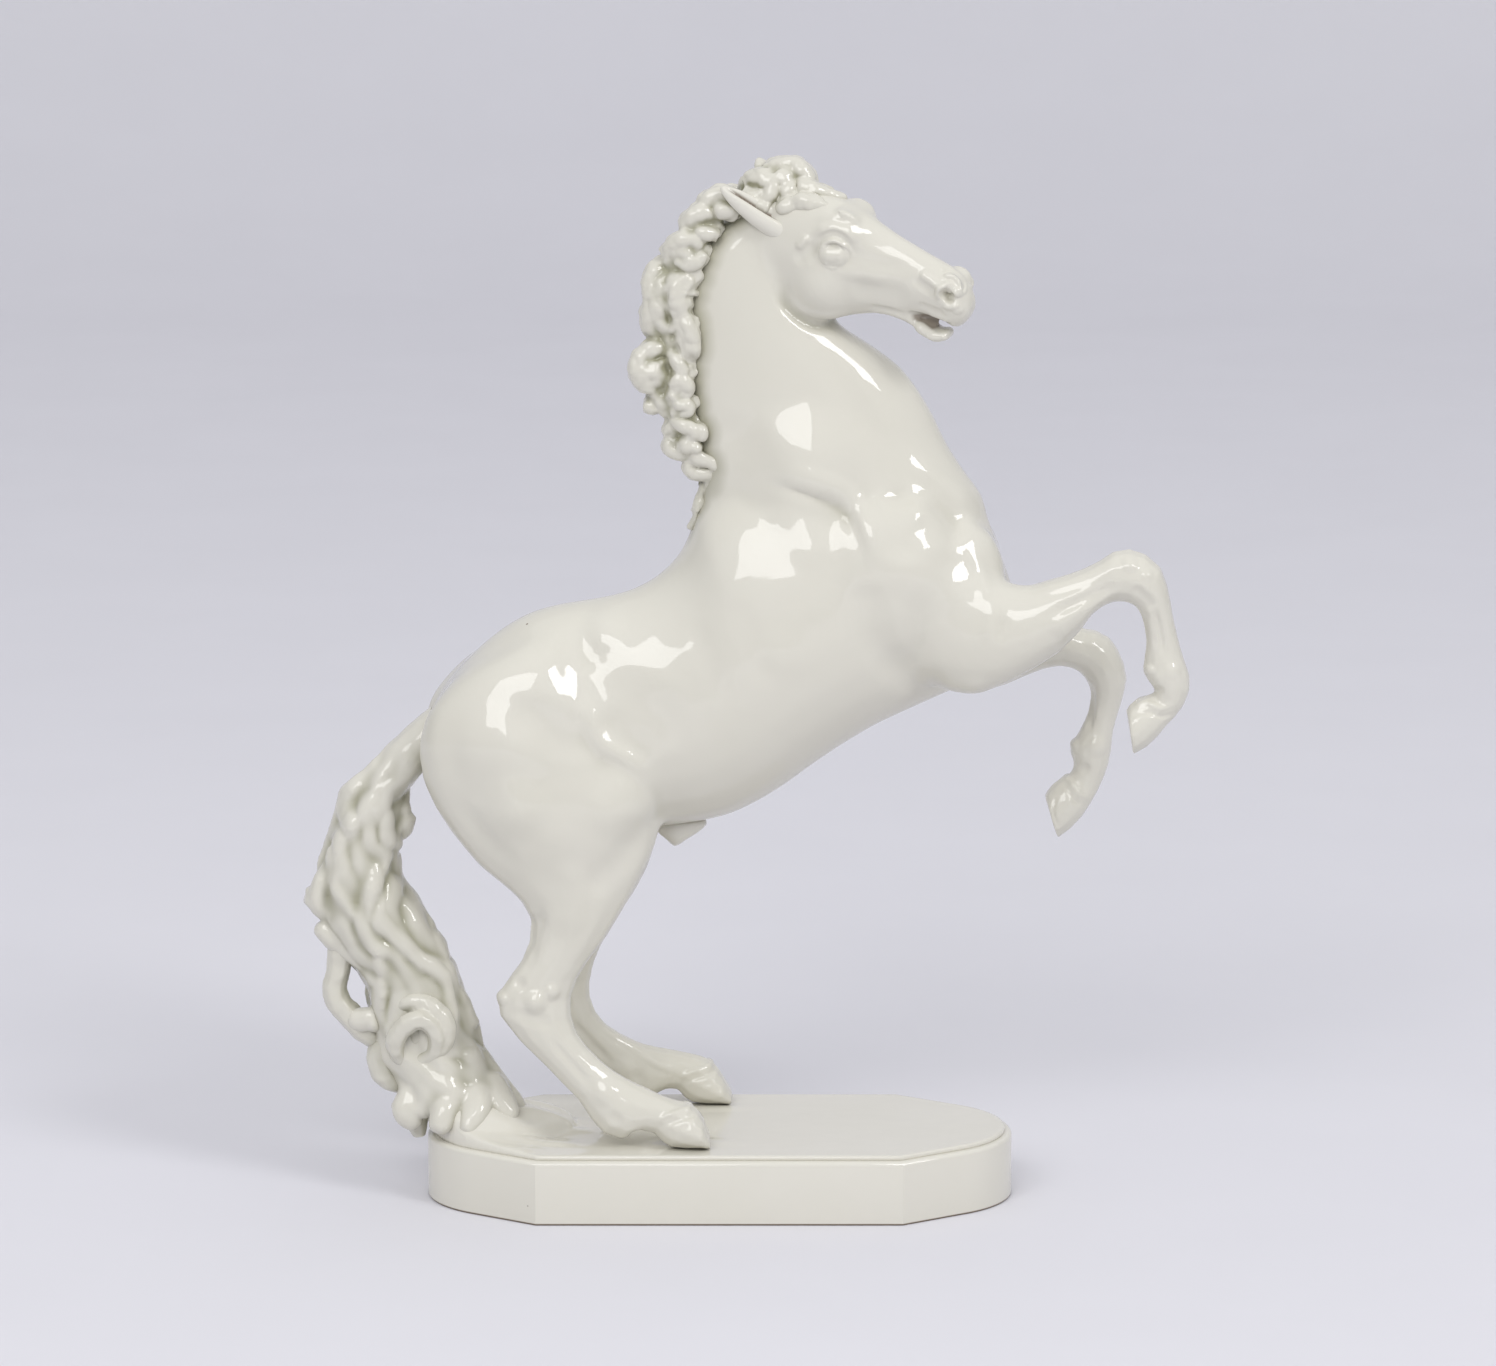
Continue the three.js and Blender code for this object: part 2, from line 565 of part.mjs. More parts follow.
// Paths of the mane's locks from the poll down to the withers: [x, y, z, radius] points, root first
const MANE = [
  [[9, -2, 350, 3], [3, -5, 354, 4.6], [-3, -5, 353, 4.3], [-6, -4, 349.5, 2.4]],
  [[1, -2, 343, 3.5], [-4, -5, 346.5, 4.7], [-9.5, -6, 345.5, 4.3], [-12.5, -5, 341, 2.4]],
  [[-3, -2, 335, 4], [-9.5, -6, 337.5, 5.2], [-16, -6, 336.5, 4.5], [-18.8, -5, 331.5, 2.6]],
  [[-9, 1, 333, 3], [-18.3, 0, 328.5, 4.4], [-21.8, -1, 318, 4.6], [-22.4, -2, 309, 4.8], [-19, -1, 304, 2.6]],
  [[-7, -6, 328, 3.5], [-14, -8, 324, 5.2], [-15, -8, 315, 5], [-11, -7, 309, 3]],
  [[-8, -6, 311, 3], [-12.5, -8, 306, 4], [-11.5, -8, 299, 4], [-10, -7, 295, 2]],
  [[-9, 1, 306, 3.5], [-16, 0, 303, 4.3], [-23.6, -2, 297.8, 6], [-25, -3, 290.6, 7.1], [-20, -3, 284.5, 5.6],
    [-14, -2, 281.5, 3.2]],
  [[-12, 0, 283, 3], [-21, -1, 279.5, 4.4], [-26.5, -2, 277, 3.6]],
  [[-8, -6, 293, 3], [-13.5, -8, 290, 4.6], [-15.5, -8, 283.5, 4.6], [-10, -7, 280, 2.6]],
  [[-6, -5, 281, 3], [-13, -7, 278.5, 4.2], [-17, -7, 274.5, 3.4]],
  [[-5, -4, 273, 3], [-11, -6, 272.5, 4.4], [-17.5, -5, 270, 4], [-19, -4, 266, 2.4]],
  [[-4, -4, 265, 3], [-10, -5, 264, 4.4], [-16.5, -4, 260.5, 3.4]],
  [[-3, -3, 258, 3], [-8, -4, 256.5, 4], [-12, -4, 252, 2.4]],
  [[-4, -3, 252, 2.4], [-5.5, -4, 246, 3], [-6.5, -4, 238.5, 3], [-10, -3, 231, 2]],
  [[-3, 4, 338, 3.5], [-10, 7, 336, 4.6], [-14, 7, 329, 4.2], [-12, 6, 323, 2.4]],
  [[-7, 6, 320, 3], [-13, 8, 316, 4.8], [-14, 8, 308, 4.4], [-11, 7, 302, 2.4]],
  [[-8, 6, 297, 3], [-14, 8, 293, 4.6], [-15, 8, 286, 4.4], [-11, 7, 280, 2.4]],
  [[-5, 4, 276, 3], [-11, 6, 273, 4.2], [-13, 6, 266, 3.6], [-9, 5, 260, 2.2]],
];

// Paths of the forelock between the ears
const FORELOCK = {
  forelock_roll: [
    [20, 0, 356, 3.5], [21.5, -2, 364, 4.6], [27, -3, 364, 6], [31.7, -4, 359.6, 5], [30.5, -6, 354, 3.6],
  ],
  forelock_curl: [[10, 3, 353, 3], [11.5, 1, 360, 4.2], [16.5, -1, 361.5, 5], [17.5, -2, 355.5, 4]],
  forelock_wisp: [[22, 2, 366, 2.4], [17, 3, 368, 1.8], [15.2, 3, 369.6, 0.5]],
  forelock_strand: [[31, -1, 357.5, 3], [38, -2.5, 358, 2.8], [45.5, -3.5, 355, 1.4]],
};

// Paths of the tail's free locks
const TAIL_SIDE_LOCK = [
  [-144, -1, 76, 4.5], [-144, -2, 68, 4.8], [-145, -2, 60, 4.7], [-146.3, -2, 54, 4.5],
  [-144.6, -2, 48, 4.8], [-140.3, -2, 43, 5.2], [-135, -2, 37.5, 5], [-129, -1, 33, 3.6],
];
const TAIL_HOOK_CURL = [
  [-119, -10, 27, 3], [-123, -15, 34, 3.6], [-120, -17, 42, 3.8], [-113, -18, 45.5, 3.8],
  [-107.5, -17, 41, 3.8], [-107.5, -15, 33, 3.4], [-112, -12, 28, 2.4],
];
const TAIL_TUFT_UPPER = [[-121, -2, 36.5, 5], [-129, -3, 29, 5.1], [-127.5, -4, 20.5, 4.8], [-120.5, -4, 15, 2.6]];
const TAIL_TUFT_LOWER = [[-104, -5, 20, 6], [-112, -6, 14, 6.4], [-115.5, -6, 5, 4.6], [-114.5, -6, -3, 2.4]];
const TAIL_TUFTS = [
  [[-143, -3, 101, 4], [-149.5, -4, 97, 4.3], [-151, -4, 90, 4.4], [-148, -4, 84, 4]],
  [[-100, -10, 20, 5], [-104, -18, 10, 5.5], [-107, -22, 3.5, 3.5]],
  [[-92, -12, 16, 5], [-93, -20, 8, 5], [-96, -25, 3.5, 3.2]],
  [[-88, -8, 20, 5], [-82, -14, 9, 5], [-80, -18, 3.5, 3]],
  [[-92, 10, 18, 5], [-88, 18, 9, 5], [-87, 22, 3.5, 3]],
  [[-100, 10, 20, 5], [-104, 18, 10, 5], [-107, 22, 3.5, 3]],
];
const TAIL_STRANDS = 6;
const TAIL_STRAND_RADIUS = 4;
const TAIL_STRAND_START = 0.14; // share of the tail's length that stays plain under the dock
const TAIL_STRAND_DEPTH = 0.86; // place of a strand between the core's middle and its skin
const TAIL_STRAND_SWAY = 0.42; // radians
const TAIL_WAVES = 3.2; // waves of a strand from the dock to the ground

// Wavy strands laid round the tail's core, each its own turn and phase.
function tailStrands(grow) {
  const middle = new THREE.CatmullRomCurve3(
    TAIL.map(([ax, az, bx, bz, y]) => new THREE.Vector3((ax + bx) / 2, y, (az + bz) / 2)),
  );
  const half = new THREE.CatmullRomCurve3(
    TAIL.map(([ax, az, bx, bz, , width]) => new THREE.Vector3((ax - bx) / 2, width, (az - bz) / 2)),
  );
  const strands = [];
  for (let i = 0; i < TAIL_STRANDS; i += 1) {
    const path = [];
    const steps = 13;
    for (let step = 0; step <= steps; step += 1) {
      const t = TAIL_STRAND_START + ((1 - TAIL_STRAND_START) * step) / steps;
      const sway = TAIL_STRAND_SWAY * Math.sin(2 * Math.PI * TAIL_WAVES * t + 2.4 * i);
      const angle = (2 * Math.PI * i) / TAIL_STRANDS + sway;
      const size = half.getPoint(t).multiplyScalar(TAIL_STRAND_DEPTH);
      const centre = middle.getPoint(t);
      centre.add(new THREE.Vector3(size.x, 0, size.z).multiplyScalar(Math.cos(angle)));
      centre.y += size.y * Math.sin(angle);
      const radius = TAIL_STRAND_RADIUS * Math.min(1, 0.4 + 0.3 * step);
      path.push([centre.x, centre.y, Math.max(centre.z, HOOF_SEAT), radius]);
    }
    strands.push(lock(path, STRAND_SIDES, steps + 1, grow));
  }
  return strands;
}

const overGround = box([-REACH, -REACH, HOOF_SEAT], [REACH, REACH, REACH]);

// The tail with its strands, the curl on its outer side and the tufts that spread on the ground.
function tail(grow = 0) {
  const tufts = TAIL_TUFTS.map((path) => lock(path, LOCK_SIDES, 6, grow));
  return joined([member(TAIL, TAIL_SIDES, 17, grow), ...tailStrands(grow), ...tufts]);
}

// A leaf-shaped ear laid back along the poll, with the slit of its shell along the upper edge.
function ear(root, tilt) {
  const angle = THREE.MathUtils.degToRad(tilt);
  const outline = [[0, 0.62], [0.3, 1], [0.6, 0.95], [0.85, 0.6], [1, 0.22]];
  const { x, y, z } = POLL.clone().add(root);
  const place = (share, lift) => [
    x + EAR_LENGTH * share * Math.cos(angle) + lift * Math.sin(angle),
    y,
    z + EAR_LENGTH * share * Math.sin(angle) - lift * Math.cos(angle),
  ];
  const shell = outline.map(([share, girth]) => [...place(share, 0), (EAR_WIDTH / 2) * girth]);
  const slit = [0.12, 0.45, 0.8].map((share) => {
    const edge = share < 0.8 ? EAR_WIDTH / 2 : EAR_WIDTH / 2.6;
    return [...place(share, edge - EAR_SLIT_DEPTH / 2), share < 0.8 ? EAR_SLIT_WIDTH / 2 : 0.7];
  });
  const body = lock(shell, EAR_SIDES, 9, 0, EAR_THICKNESS / EAR_WIDTH);
  return body.subtract(lock(slit, STRAND_SIDES, 6));
}
const SHEATH_CENTRE = [-14.5, 0, 117.5];
const SHEATH_HALF = [8, 6.5, 8];

const group = new THREE.Group();
const figure = new THREE.Group();
figure.position.z = GROUND_TOP;
group.add(figure);

function addPiece(parent, name, body, look = GLAZE) {
  const mesh = new THREE.Mesh(geometryOf(mainBody(body)), new THREE.MeshStandardMaterial(look));
  mesh.name = name;
  parent.add(mesh);
}

addPiece(group, "plinth", plinth());
const groundBody = ground();
const groundClear = ground(SEAM);
addPiece(figure, "ground", groundBody);

const grownSkin = skin(SEAM);
for (const [name, body] of Object.entries(castMembers())) {
  addPiece(figure, name, body.subtract(groundClear));
}
addPiece(figure, "sheath", swelling(SHEATH_CENTRE, SHEATH_HALF).subtract(grownSkin));

// Each lock is pressed onto the skin and onto the locks that were laid before it.
let laid = grownSkin;
function addLock(name, path) {
  const rings = 3 * path.length - 2;
  const body = lock(path, LOCK_SIDES, rings).subtract(laid);
  addPiece(figure, name, body);
  laid = laid.add(lock(path, LOCK_SIDES, rings, LOCK_SEAM));
}
const rightEar = ear(RIGHT_EAR_ROOT, RIGHT_EAR_TILT);
const leftEar = ear(LEFT_EAR_ROOT, LEFT_EAR_TILT);
MANE.forEach((path, i) => addLock(`mane_lock_${i + 1}`, path));
Object.entries(FORELOCK).forEach(([name, path]) => addLock(name, path));
addPiece(figure, "right_ear", rightEar.subtract(laid));
addPiece(figure, "left_ear", leftEar.subtract(laid));

const groundAndPlinth = groundClear.add(
  slab(-SEAM, -GROUND_TOP, SEAM - GROUND_RISE, PLINTH_EDGE_ROUND, 0),
);
const tailBody = tail().intersect(overGround).subtract(grownSkin).subtract(groundAndPlinth);
addPiece(figure, "tail", tailBody);
let hung = tail(SEAM).add(grownSkin).add(groundAndPlinth);
function addTailLock(name, path) {
  const rings = 3 * path.length - 2;
  const body = lock(path, LOCK_SIDES, rings).subtract(hung);
  addPiece(figure, name, body);
  hung = hung.add(lock(path, LOCK_SIDES, rings, LOCK_SEAM));
}
addTailLock("tail_side_lock", TAIL_SIDE_LOCK);
addTailLock("tail_hook_curl", TAIL_HOOK_CURL);
addTailLock("tail_tuft_upper", TAIL_TUFT_UPPER);
addTailLock("tail_tuft_lower", TAIL_TUFT_LOWER);

// The part's origin lies on the table under the middle of the whole object.
group.updateMatrixWorld(true);
const middle = new THREE.Box3().setFromObject(group).getCenter(new THREE.Vector3());
group.position.set(-middle.x, -middle.y, 0);

export default group;
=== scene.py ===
# %% [markdown]
# A rearing horse in white glazed porcelain stands on a low plinth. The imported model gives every
# member its real place, so this script starts from those members and gives them the soft, glassy
# skin that glaze leaves: sharp seams and facets melt away, and only modelled detail stays.

# %% Load the frame
import json
import math

import bmesh
import bpy
import numpy as np
from mathutils import Matrix, Vector
from mathutils.kdtree import KDTree

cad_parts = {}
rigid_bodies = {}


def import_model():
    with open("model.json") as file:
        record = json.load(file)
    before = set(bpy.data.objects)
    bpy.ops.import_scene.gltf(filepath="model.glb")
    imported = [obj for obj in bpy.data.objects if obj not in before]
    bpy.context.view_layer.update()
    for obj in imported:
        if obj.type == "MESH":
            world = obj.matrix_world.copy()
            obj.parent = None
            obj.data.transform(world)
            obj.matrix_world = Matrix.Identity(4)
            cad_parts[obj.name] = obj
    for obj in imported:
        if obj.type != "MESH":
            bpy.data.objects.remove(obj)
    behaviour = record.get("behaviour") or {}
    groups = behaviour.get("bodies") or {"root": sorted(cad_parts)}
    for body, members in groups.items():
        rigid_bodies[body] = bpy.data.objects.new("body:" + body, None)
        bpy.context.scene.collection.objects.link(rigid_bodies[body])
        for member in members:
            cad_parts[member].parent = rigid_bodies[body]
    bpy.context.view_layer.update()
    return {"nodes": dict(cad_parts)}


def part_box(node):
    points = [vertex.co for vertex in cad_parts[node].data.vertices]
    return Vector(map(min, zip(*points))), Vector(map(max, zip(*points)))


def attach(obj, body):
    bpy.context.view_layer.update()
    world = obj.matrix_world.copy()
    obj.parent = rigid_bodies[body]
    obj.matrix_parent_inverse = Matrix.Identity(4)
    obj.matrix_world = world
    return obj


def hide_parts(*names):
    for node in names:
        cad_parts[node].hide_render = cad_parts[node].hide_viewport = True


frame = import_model()
MM = 0.001
print("members:", len(frame["nodes"]))

# %% [markdown]
# Everything is placed in the figure's own measure: millimetres from the middle of the plinth, with
# heights counted from the ground under the hooves. Both come from the frame, so the looks stay on
# the construction. Small helpers read and write a mesh's points in that measure and store a value
# or a normal at each point, because a sculptor's thumb is easier to describe with arrays of points
# than with clicks.

# %% The figure's own measure
plinth_low, plinth_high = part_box("plinth")
PLINTH_X = (plinth_low[0] + plinth_high[0]) / 2
HOOF_SEAM = 0.3 * MM
GROUND_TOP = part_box("right_hind_leg")[0][2] - HOOF_SEAM
ORIGIN = np.array([PLINTH_X, 0, GROUND_TOP])


def place(x, y, z):
    """A point of the figure, given in millimetres, as a place in the frame."""
    return Vector(ORIGIN + np.array([x, y, z]) * MM)


def values_of(items, name, width=3):
    """One property of a mesh's points or faces, as the rows of an array."""
    flat = np.empty(len(items) * width)
    items.foreach_get(name, flat)
    return flat.reshape(-1, width)


def points_of(piece):
    """The piece's points in the figure's millimetres."""
    return (values_of(piece.data.vertices, "co") - ORIGIN) / MM


def set_points(piece, points):
    piece.data.vertices.foreach_set("co", (points * MM + ORIGIN).ravel())
    piece.data.update()


def normals_of(piece):
    return values_of(piece.data.vertices, "normal")


def keep_value(piece, name, values):
    """Stores a value of 0 to 1 at each point, for the glaze to read."""
    kept = piece.data.attributes.new(name, "FLOAT", "POINT")
    kept.data.foreach_set("value", np.clip(values, 0, 1).astype(np.float32))


def keep_normals(piece):
    """Stores a whole skin's normals, so that the parts cut from it can shade like it."""
    kept = piece.data.attributes.new("skin_normal", "FLOAT_VECTOR", "POINT")
    kept.data.foreach_set("vector", normals_of(piece).ravel())


print("plinth middle", round(PLINTH_X, 4), "ground top", round(GROUND_TOP, 4))

# %% [markdown]
# The camera stands 2.5 m off and looks slightly down, as for a catalogue picture. A long lens keeps
# the plinth's front edge straight and shows only a sliver of its top.

# %% Camera
CAMERA_DISTANCE = 2.5
CAMERA_ELEVATION = math.radians(11.1)
PICTURE_WIDTH_PX = 1496
PIXEL_SIZE = 0.377 * MM  # at the figure
FOCAL_PX = CAMERA_DISTANCE / PIXEL_SIZE
SENSOR_MM = 36
AIM_AHEAD, AIM_HEIGHT = 10.8 * MM, 198.1 * MM
aim = Vector((PLINTH_X + AIM_AHEAD, 0, AIM_HEIGHT))
back = Vector((0, -math.cos(CAMERA_ELEVATION), math.sin(CAMERA_ELEVATION)))
camera_data = bpy.data.cameras.new("camera")
camera_data.sensor_width = SENSOR_MM
camera_data.lens = SENSOR_MM * FOCAL_PX / PICTURE_WIDTH_PX
camera_data.clip_end = 50
camera = bpy.data.objects.new("camera", camera_data)
camera.location = aim + back * CAMERA_DISTANCE
camera.rotation_euler = (math.pi / 2 - CAMERA_ELEVATION, 0, 0)
bpy.context.scene.collection.objects.link(camera)
bpy.context.scene.camera = camera
bpy.context.scene.view_settings.view_transform = "Standard"
print("lens", round(camera_data.lens, 1))

# %% [markdown]
# Materials are built from nodes. One function turns a written colour into the linear values that
# the shader wants, and one adds a node with its settings and links.

# %% Material helpers
def colour(hex_code):
    """An sRGB hex colour as linear RGBA."""
    parts = [int(hex_code[i:i + 2], 16) / 255 for i in (0, 2, 4)]
    linear = [c / 12.92 if c <= 0.04045 else ((c + 0.055) / 1.055) ** 2.4 for c in parts]
    return (*linear, 1)


def add_node(tree, kind, settings=None, **inputs):
    """Adds a node; an input is a value, or the output socket that feeds it."""
    made = tree.nodes.new(kind)
    for name, value in (settings or {}).items():
        setattr(made, name, value)
    for name, value in inputs.items():
        socket = made.inputs[int(name[1:]) if name[1:].isdigit() else name.replace("_", " ")]
        if isinstance(value, bpy.types.NodeSocket):
            tree.links.new(value, socket)
        else:
            socket.default_value = value
    return made


def new_material(name):
    made = bpy.data.materials.new(name)
    made.use_nodes = True
    made.node_tree.nodes.clear()
    return made, made.node_tree


print("white of the paper, linear:", [round(c, 3) for c in colour("dfdee3")[:3]])

# %% [markdown]
# The sweep behind the figure is one sheet of pale grey paper: it lies flat under the plinth and
# curves up behind it, so there is no horizon line. It starts as a plane, and its back edge is
# extruded upwards along a quarter circle. Where it rises, its colour is painted paler, as painted
# light on the wall.

# %% Paper sweep
def paper():
    """Matt paper, a cool pale grey, with the faint cloudiness of its fibres."""
    made, tree = new_material("matt_paper_sweep")
    place_in_sheet = add_node(tree, "ShaderNodeTexCoord").outputs["Object"]
    fibres = add_node(tree, "ShaderNodeTexNoise", Vector=place_in_sheet, Scale=9.0, Detail=3.0)
    lying = add_node(tree, "ShaderNodeMix", {"data_type": "RGBA"}, i0=fibres.outputs["Fac"],
                     i6=colour("dbdadf"), i7=colour("dfdee3"))
    # painted light: the paper's tone is painted paler the higher it rises up the wall
    height = add_node(tree, "ShaderNodeSeparateXYZ", Vector=place_in_sheet).outputs["Z"]
    rise = add_node(tree, "ShaderNodeMapRange", Value=height, From_Max=1.2)
    fibres_and_painted_light = add_node(tree, "ShaderNodeMix", {"data_type": "RGBA"}, i0=rise.outputs["Result"],
                    i6=lying.outputs[2], i7=colour("f3f2f6"))
    shader = add_node(tree, "ShaderNodeBsdfPrincipled", Base_Color=fibres_and_painted_light.outputs[2], Roughness=0.9)
    add_node(tree, "ShaderNodeOutputMaterial", Surface=shader.outputs["BSDF"])
    return made


def deselect():
    if bpy.context.object and bpy.context.object.mode != "OBJECT":
        bpy.ops.object.mode_set(mode="OBJECT")
    bpy.ops.object.select_all(action="DESELECT")


def make_active(piece):
    deselect()
    piece.select_set(True)
    bpy.context.view_layer.objects.active = piece


def extrude(along, up):
    """In edit mode, extrudes the selection away from the camera and upwards."""
    bpy.ops.mesh.extrude_region_move(TRANSFORM_OT_translate={"value": (0, along, up)})


SHEET_SIZE, SHEET_MIDDLE = 8, -1.6
SWEEP_RADIUS, SWEEP_STEPS, SWEEP_WALL = 1.2, 16, 4
deselect()
bpy.ops.mesh.primitive_plane_add(size=SHEET_SIZE, location=(0, SHEET_MIDDLE, 0))
sweep = bpy.context.object
sweep.name = "paper_sweep"
bpy.ops.object.mode_set(mode="EDIT")
sheet = bmesh.from_edit_mesh(sweep.data)
bpy.ops.mesh.select_all(action="DESELECT")
for edge in sheet.edges:
    edge.select = all(v.co.y > 0.49 * SHEET_SIZE for v in edge.verts)
bmesh.update_edit_mesh(sweep.data)
for step in range(SWEEP_STEPS):
    angles = [math.pi / 2 * (step + k) / SWEEP_STEPS for k in (0, 1)]
    along = SWEEP_RADIUS * (math.sin(angles[1]) - math.sin(angles[0]))
    rise = SWEEP_RADIUS * (math.cos(angles[0]) - math.cos(angles[1]))
    extrude(along, rise)
extrude(0, SWEEP_WALL)
bpy.ops.object.mode_set(mode="OBJECT")
bpy.ops.object.transform_apply()
bpy.ops.object.shade_smooth()
sweep.data.materials.append(paper())
print("sweep", [round(v, 2) for v in sweep.dimensions])

# %% [markdown]
# The light is a bright, even room, paler towards the ceiling, with two softboxes. Glaze mirrors
# them as the crisp white patches that run over neck, shoulder, croup and breast, so their
# directions are worked out from where those patches lie.

# %% Light
world = bpy.data.worlds.new("studio")
bpy.context.scene.world = world
world.use_nodes = True
room = world.node_tree
direction = add_node(room, "ShaderNodeTexCoord").outputs["Generated"]
upwards = add_node(room, "ShaderNodeSeparateXYZ", Vector=direction).outputs["Z"]
ceiling = add_node(room, "ShaderNodeMapRange", {"interpolation_type": "SMOOTHSTEP"}, Value=upwards,
                   From_Max=0.9, To_Min=0.40, To_Max=0.98)
background = room.nodes["Background"]
background.inputs["Color"].default_value = colour("e9eaee")
room.links.new(ceiling.outputs["Result"], background.inputs["Strength"])


BREAST = (10, 0, 190)


def softbox(name, azimuth, elevation, distance, width, height, watts):
    """A softbox that looks at the figure; azimuth 0 is the camera's side, positive to its right."""
    a, e = math.radians(azimuth), math.radians(elevation)
    target = place(*BREAST)
    towards = Vector((math.sin(a) * math.cos(e), -math.cos(a) * math.cos(e), math.sin(e)))
    light = bpy.data.lights.new(name, "AREA")
    light.shape = "RECTANGLE"
    light.size = width
    light.size_y = height
    light.energy = watts
    lamp = bpy.data.objects.new(name, light)
    lamp.location = target + towards * distance
    lamp.rotation_euler = (-towards).to_track_quat("-Z", "Y").to_euler()
    bpy.context.scene.collection.objects.link(lamp)


softbox("softbox_front", -20, 36, distance=4, width=2.6, height=1.7, watts=56)
softbox("softbox_right", 46, 38, distance=4, width=1.05, height=1.26, watts=40)

# %% [markdown]
# On the real figure the body is cast hollow in several members and luted together, and the glaze
# hides every joint. So the members are copied, their facets are fused into one skin by a voxel
# remesh, and the skin is cut back into the same members once it is smooth. The hollow inside is
# never seen: a plug closes the vent between the thighs, and only the outermost shell is kept. A
# sunk tongue closes the gap between the jaws, and the arch under the near heel is drilled open.

# %% Fuse the cast members into one clay body
BODY_MEMBERS = ("torso", "neck", "head", "right_foreleg", "left_foreleg", "right_hind_leg",
                "left_hind_leg")
BODY_VOXEL, BODY_SWELL = 1.1, 0.25
VENT, VENT_RADIUS, VENT_DEPTH = (-52, 0, 115), 2.4, 6
TONGUE, TONGUE_SIZE, JAW_LINE = (77, -21.3, 313.1), (5.5, 1.6, 2.4), (11.1, -4.4, -2.3)
HEEL_ARCH, ARCH_RADIUS, ARCH_WIDTH, ARCH_STRETCH = (-30.3, -33, 4.6), 2.9, 40, 1.25
WELD = 0.01 * MM


def merged_copy(name, swell):
    """A copy of a member with its loose triangles merged, swollen by some millimetres."""
    made = bpy.data.objects.new(name + "_clay", frame["nodes"][name].data.copy())
    bpy.context.scene.collection.objects.link(made)
    work = bmesh.new()
    work.from_mesh(made.data)
    bmesh.ops.remove_doubles(work, verts=work.verts, dist=WELD)
    bmesh.ops.recalc_face_normals(work, faces=work.faces)
    work.to_mesh(made.data)
    work.free()
    made.data.materials.clear()
    set_points(made, points_of(made) + swell * normals_of(made))
    return made


def fuse(parts, name, voxel):
    """Joins parts and lays one even skin round them."""
    make_active(parts[0])
    for part in parts:
        part.select_set(True)
    if len(parts) > 1:
        bpy.ops.object.join()
    fused = bpy.context.object
    fused.name = fused.data.name = name
    fused.data.remesh_voxel_size = voxel * MM
    bpy.ops.object.voxel_remesh()
    return fused


def outer_shell(piece):
    """Keeps the outermost of a mesh's loose shells."""
    make_active(piece)
    bpy.ops.mesh.separate(type="LOOSE")
    shells = sorted(bpy.context.selected_objects, key=lambda o: -len(o.data.vertices))
    for shell in shells[1:]:
        bpy.data.objects.remove(shell)
    shells[0].name = shells[0].data.name = piece.name
    return shells[0]


def drill_arch(piece):
    """Cuts the flattened arch under the heel, from side to side."""
    deselect()
    bpy.ops.mesh.primitive_cylinder_add(radius=ARCH_RADIUS * MM, depth=ARCH_WIDTH * MM, vertices=24)
    drill = bpy.context.object
    drill.rotation_euler.x = math.pi / 2
    bpy.ops.object.transform_apply()
    drill.scale = (ARCH_STRETCH, 1, 1)
    drill.location = place(*HEEL_ARCH)
    make_active(piece)
    cut = piece.modifiers.new("arch", "BOOLEAN")
    cut.operation = "DIFFERENCE"
    cut.object = drill
    cut.solver = "EXACT"
    bpy.ops.object.modifier_apply(modifier=cut.name)
    bpy.data.objects.remove(drill)


deselect()
bpy.ops.mesh.primitive_cylinder_add(radius=VENT_RADIUS * MM, depth=VENT_DEPTH * MM,
                                    location=place(*VENT))
plug = bpy.context.object
bpy.ops.object.transform_apply()
# the tongue is painted dark brown further on, as painted shade inside the parted mouth
bpy.ops.mesh.primitive_uv_sphere_add(segments=24, ring_count=12, radius=MM, location=place(*TONGUE))
tongue = bpy.context.object
tongue.scale = TONGUE_SIZE
tongue.rotation_euler = Vector(JAW_LINE).to_track_quat("X", "Z").to_euler()
bpy.ops.object.transform_apply()
copies = {name: merged_copy(name, BODY_SWELL) for name in BODY_MEMBERS}
drill_arch(copies["right_hind_leg"])
clay = fuse([*copies.values(), plug, tongue], "clay_body", BODY_VOXEL)
clay = outer_shell(clay)
print("clay body:", len(clay.data.polygons), "faces")

# %% [markdown]
# The members came with coarse facets. Smoothing works like a wet sponge: a strong pass melts the
# broad forms of trunk, neck and thighs, and a light one only rounds the thin legs and the muzzle.
# A vertex group tells the Smooth modifier how strongly each point takes part. Hooves keep more of
# their edge, because they are the only hard forms on the animal.

# %% Sponge the broad forms
def smoothstep(value, low, high):
    t = np.clip((value - low) / (high - low), 0, 1)
    return t * t * (3 - 2 * t)


def paint_group(piece, name, weights, levels=24):
    """Stores weights of 0 to 1 as a vertex group, in a few even levels."""
    group = piece.vertex_groups.new(name=name)
    level = np.round(weights * levels).astype(int)
    for k in range(1, levels + 1):
        chosen = np.flatnonzero(level == k)
        if len(chosen):
            group.add(chosen.tolist(), k / levels, "REPLACE")
    return name


def sponge(piece, passes, factor=0.5, group=""):
    make_active(piece)
    step = piece.modifiers.new("sponge", "SMOOTH")
    step.iterations = passes
    step.factor = factor
    step.vertex_group = group
    bpy.ops.object.modifier_apply(modifier=step.name)


def broad_forms(points):
    """How broad the form is at each point: 1 on the trunk, 0 on the lower legs and the muzzle."""
    x, y, z = points.T
    hind = np.where(x < 10, smoothstep(z, 82, 112), 1)
    fore = np.where((z < 240) & (x > 60), 1 - smoothstep(x, 106, 130), 1)
    muzzle = np.where(z > 296, 1 - smoothstep(x, 60, 76), 1)
    return hind * fore * muzzle


HOOVES = [((-13, -33, 7), 15), ((-6, 33, 7), 15), ((154, -27, 172), 13), ((122, 20, 143), 13)]


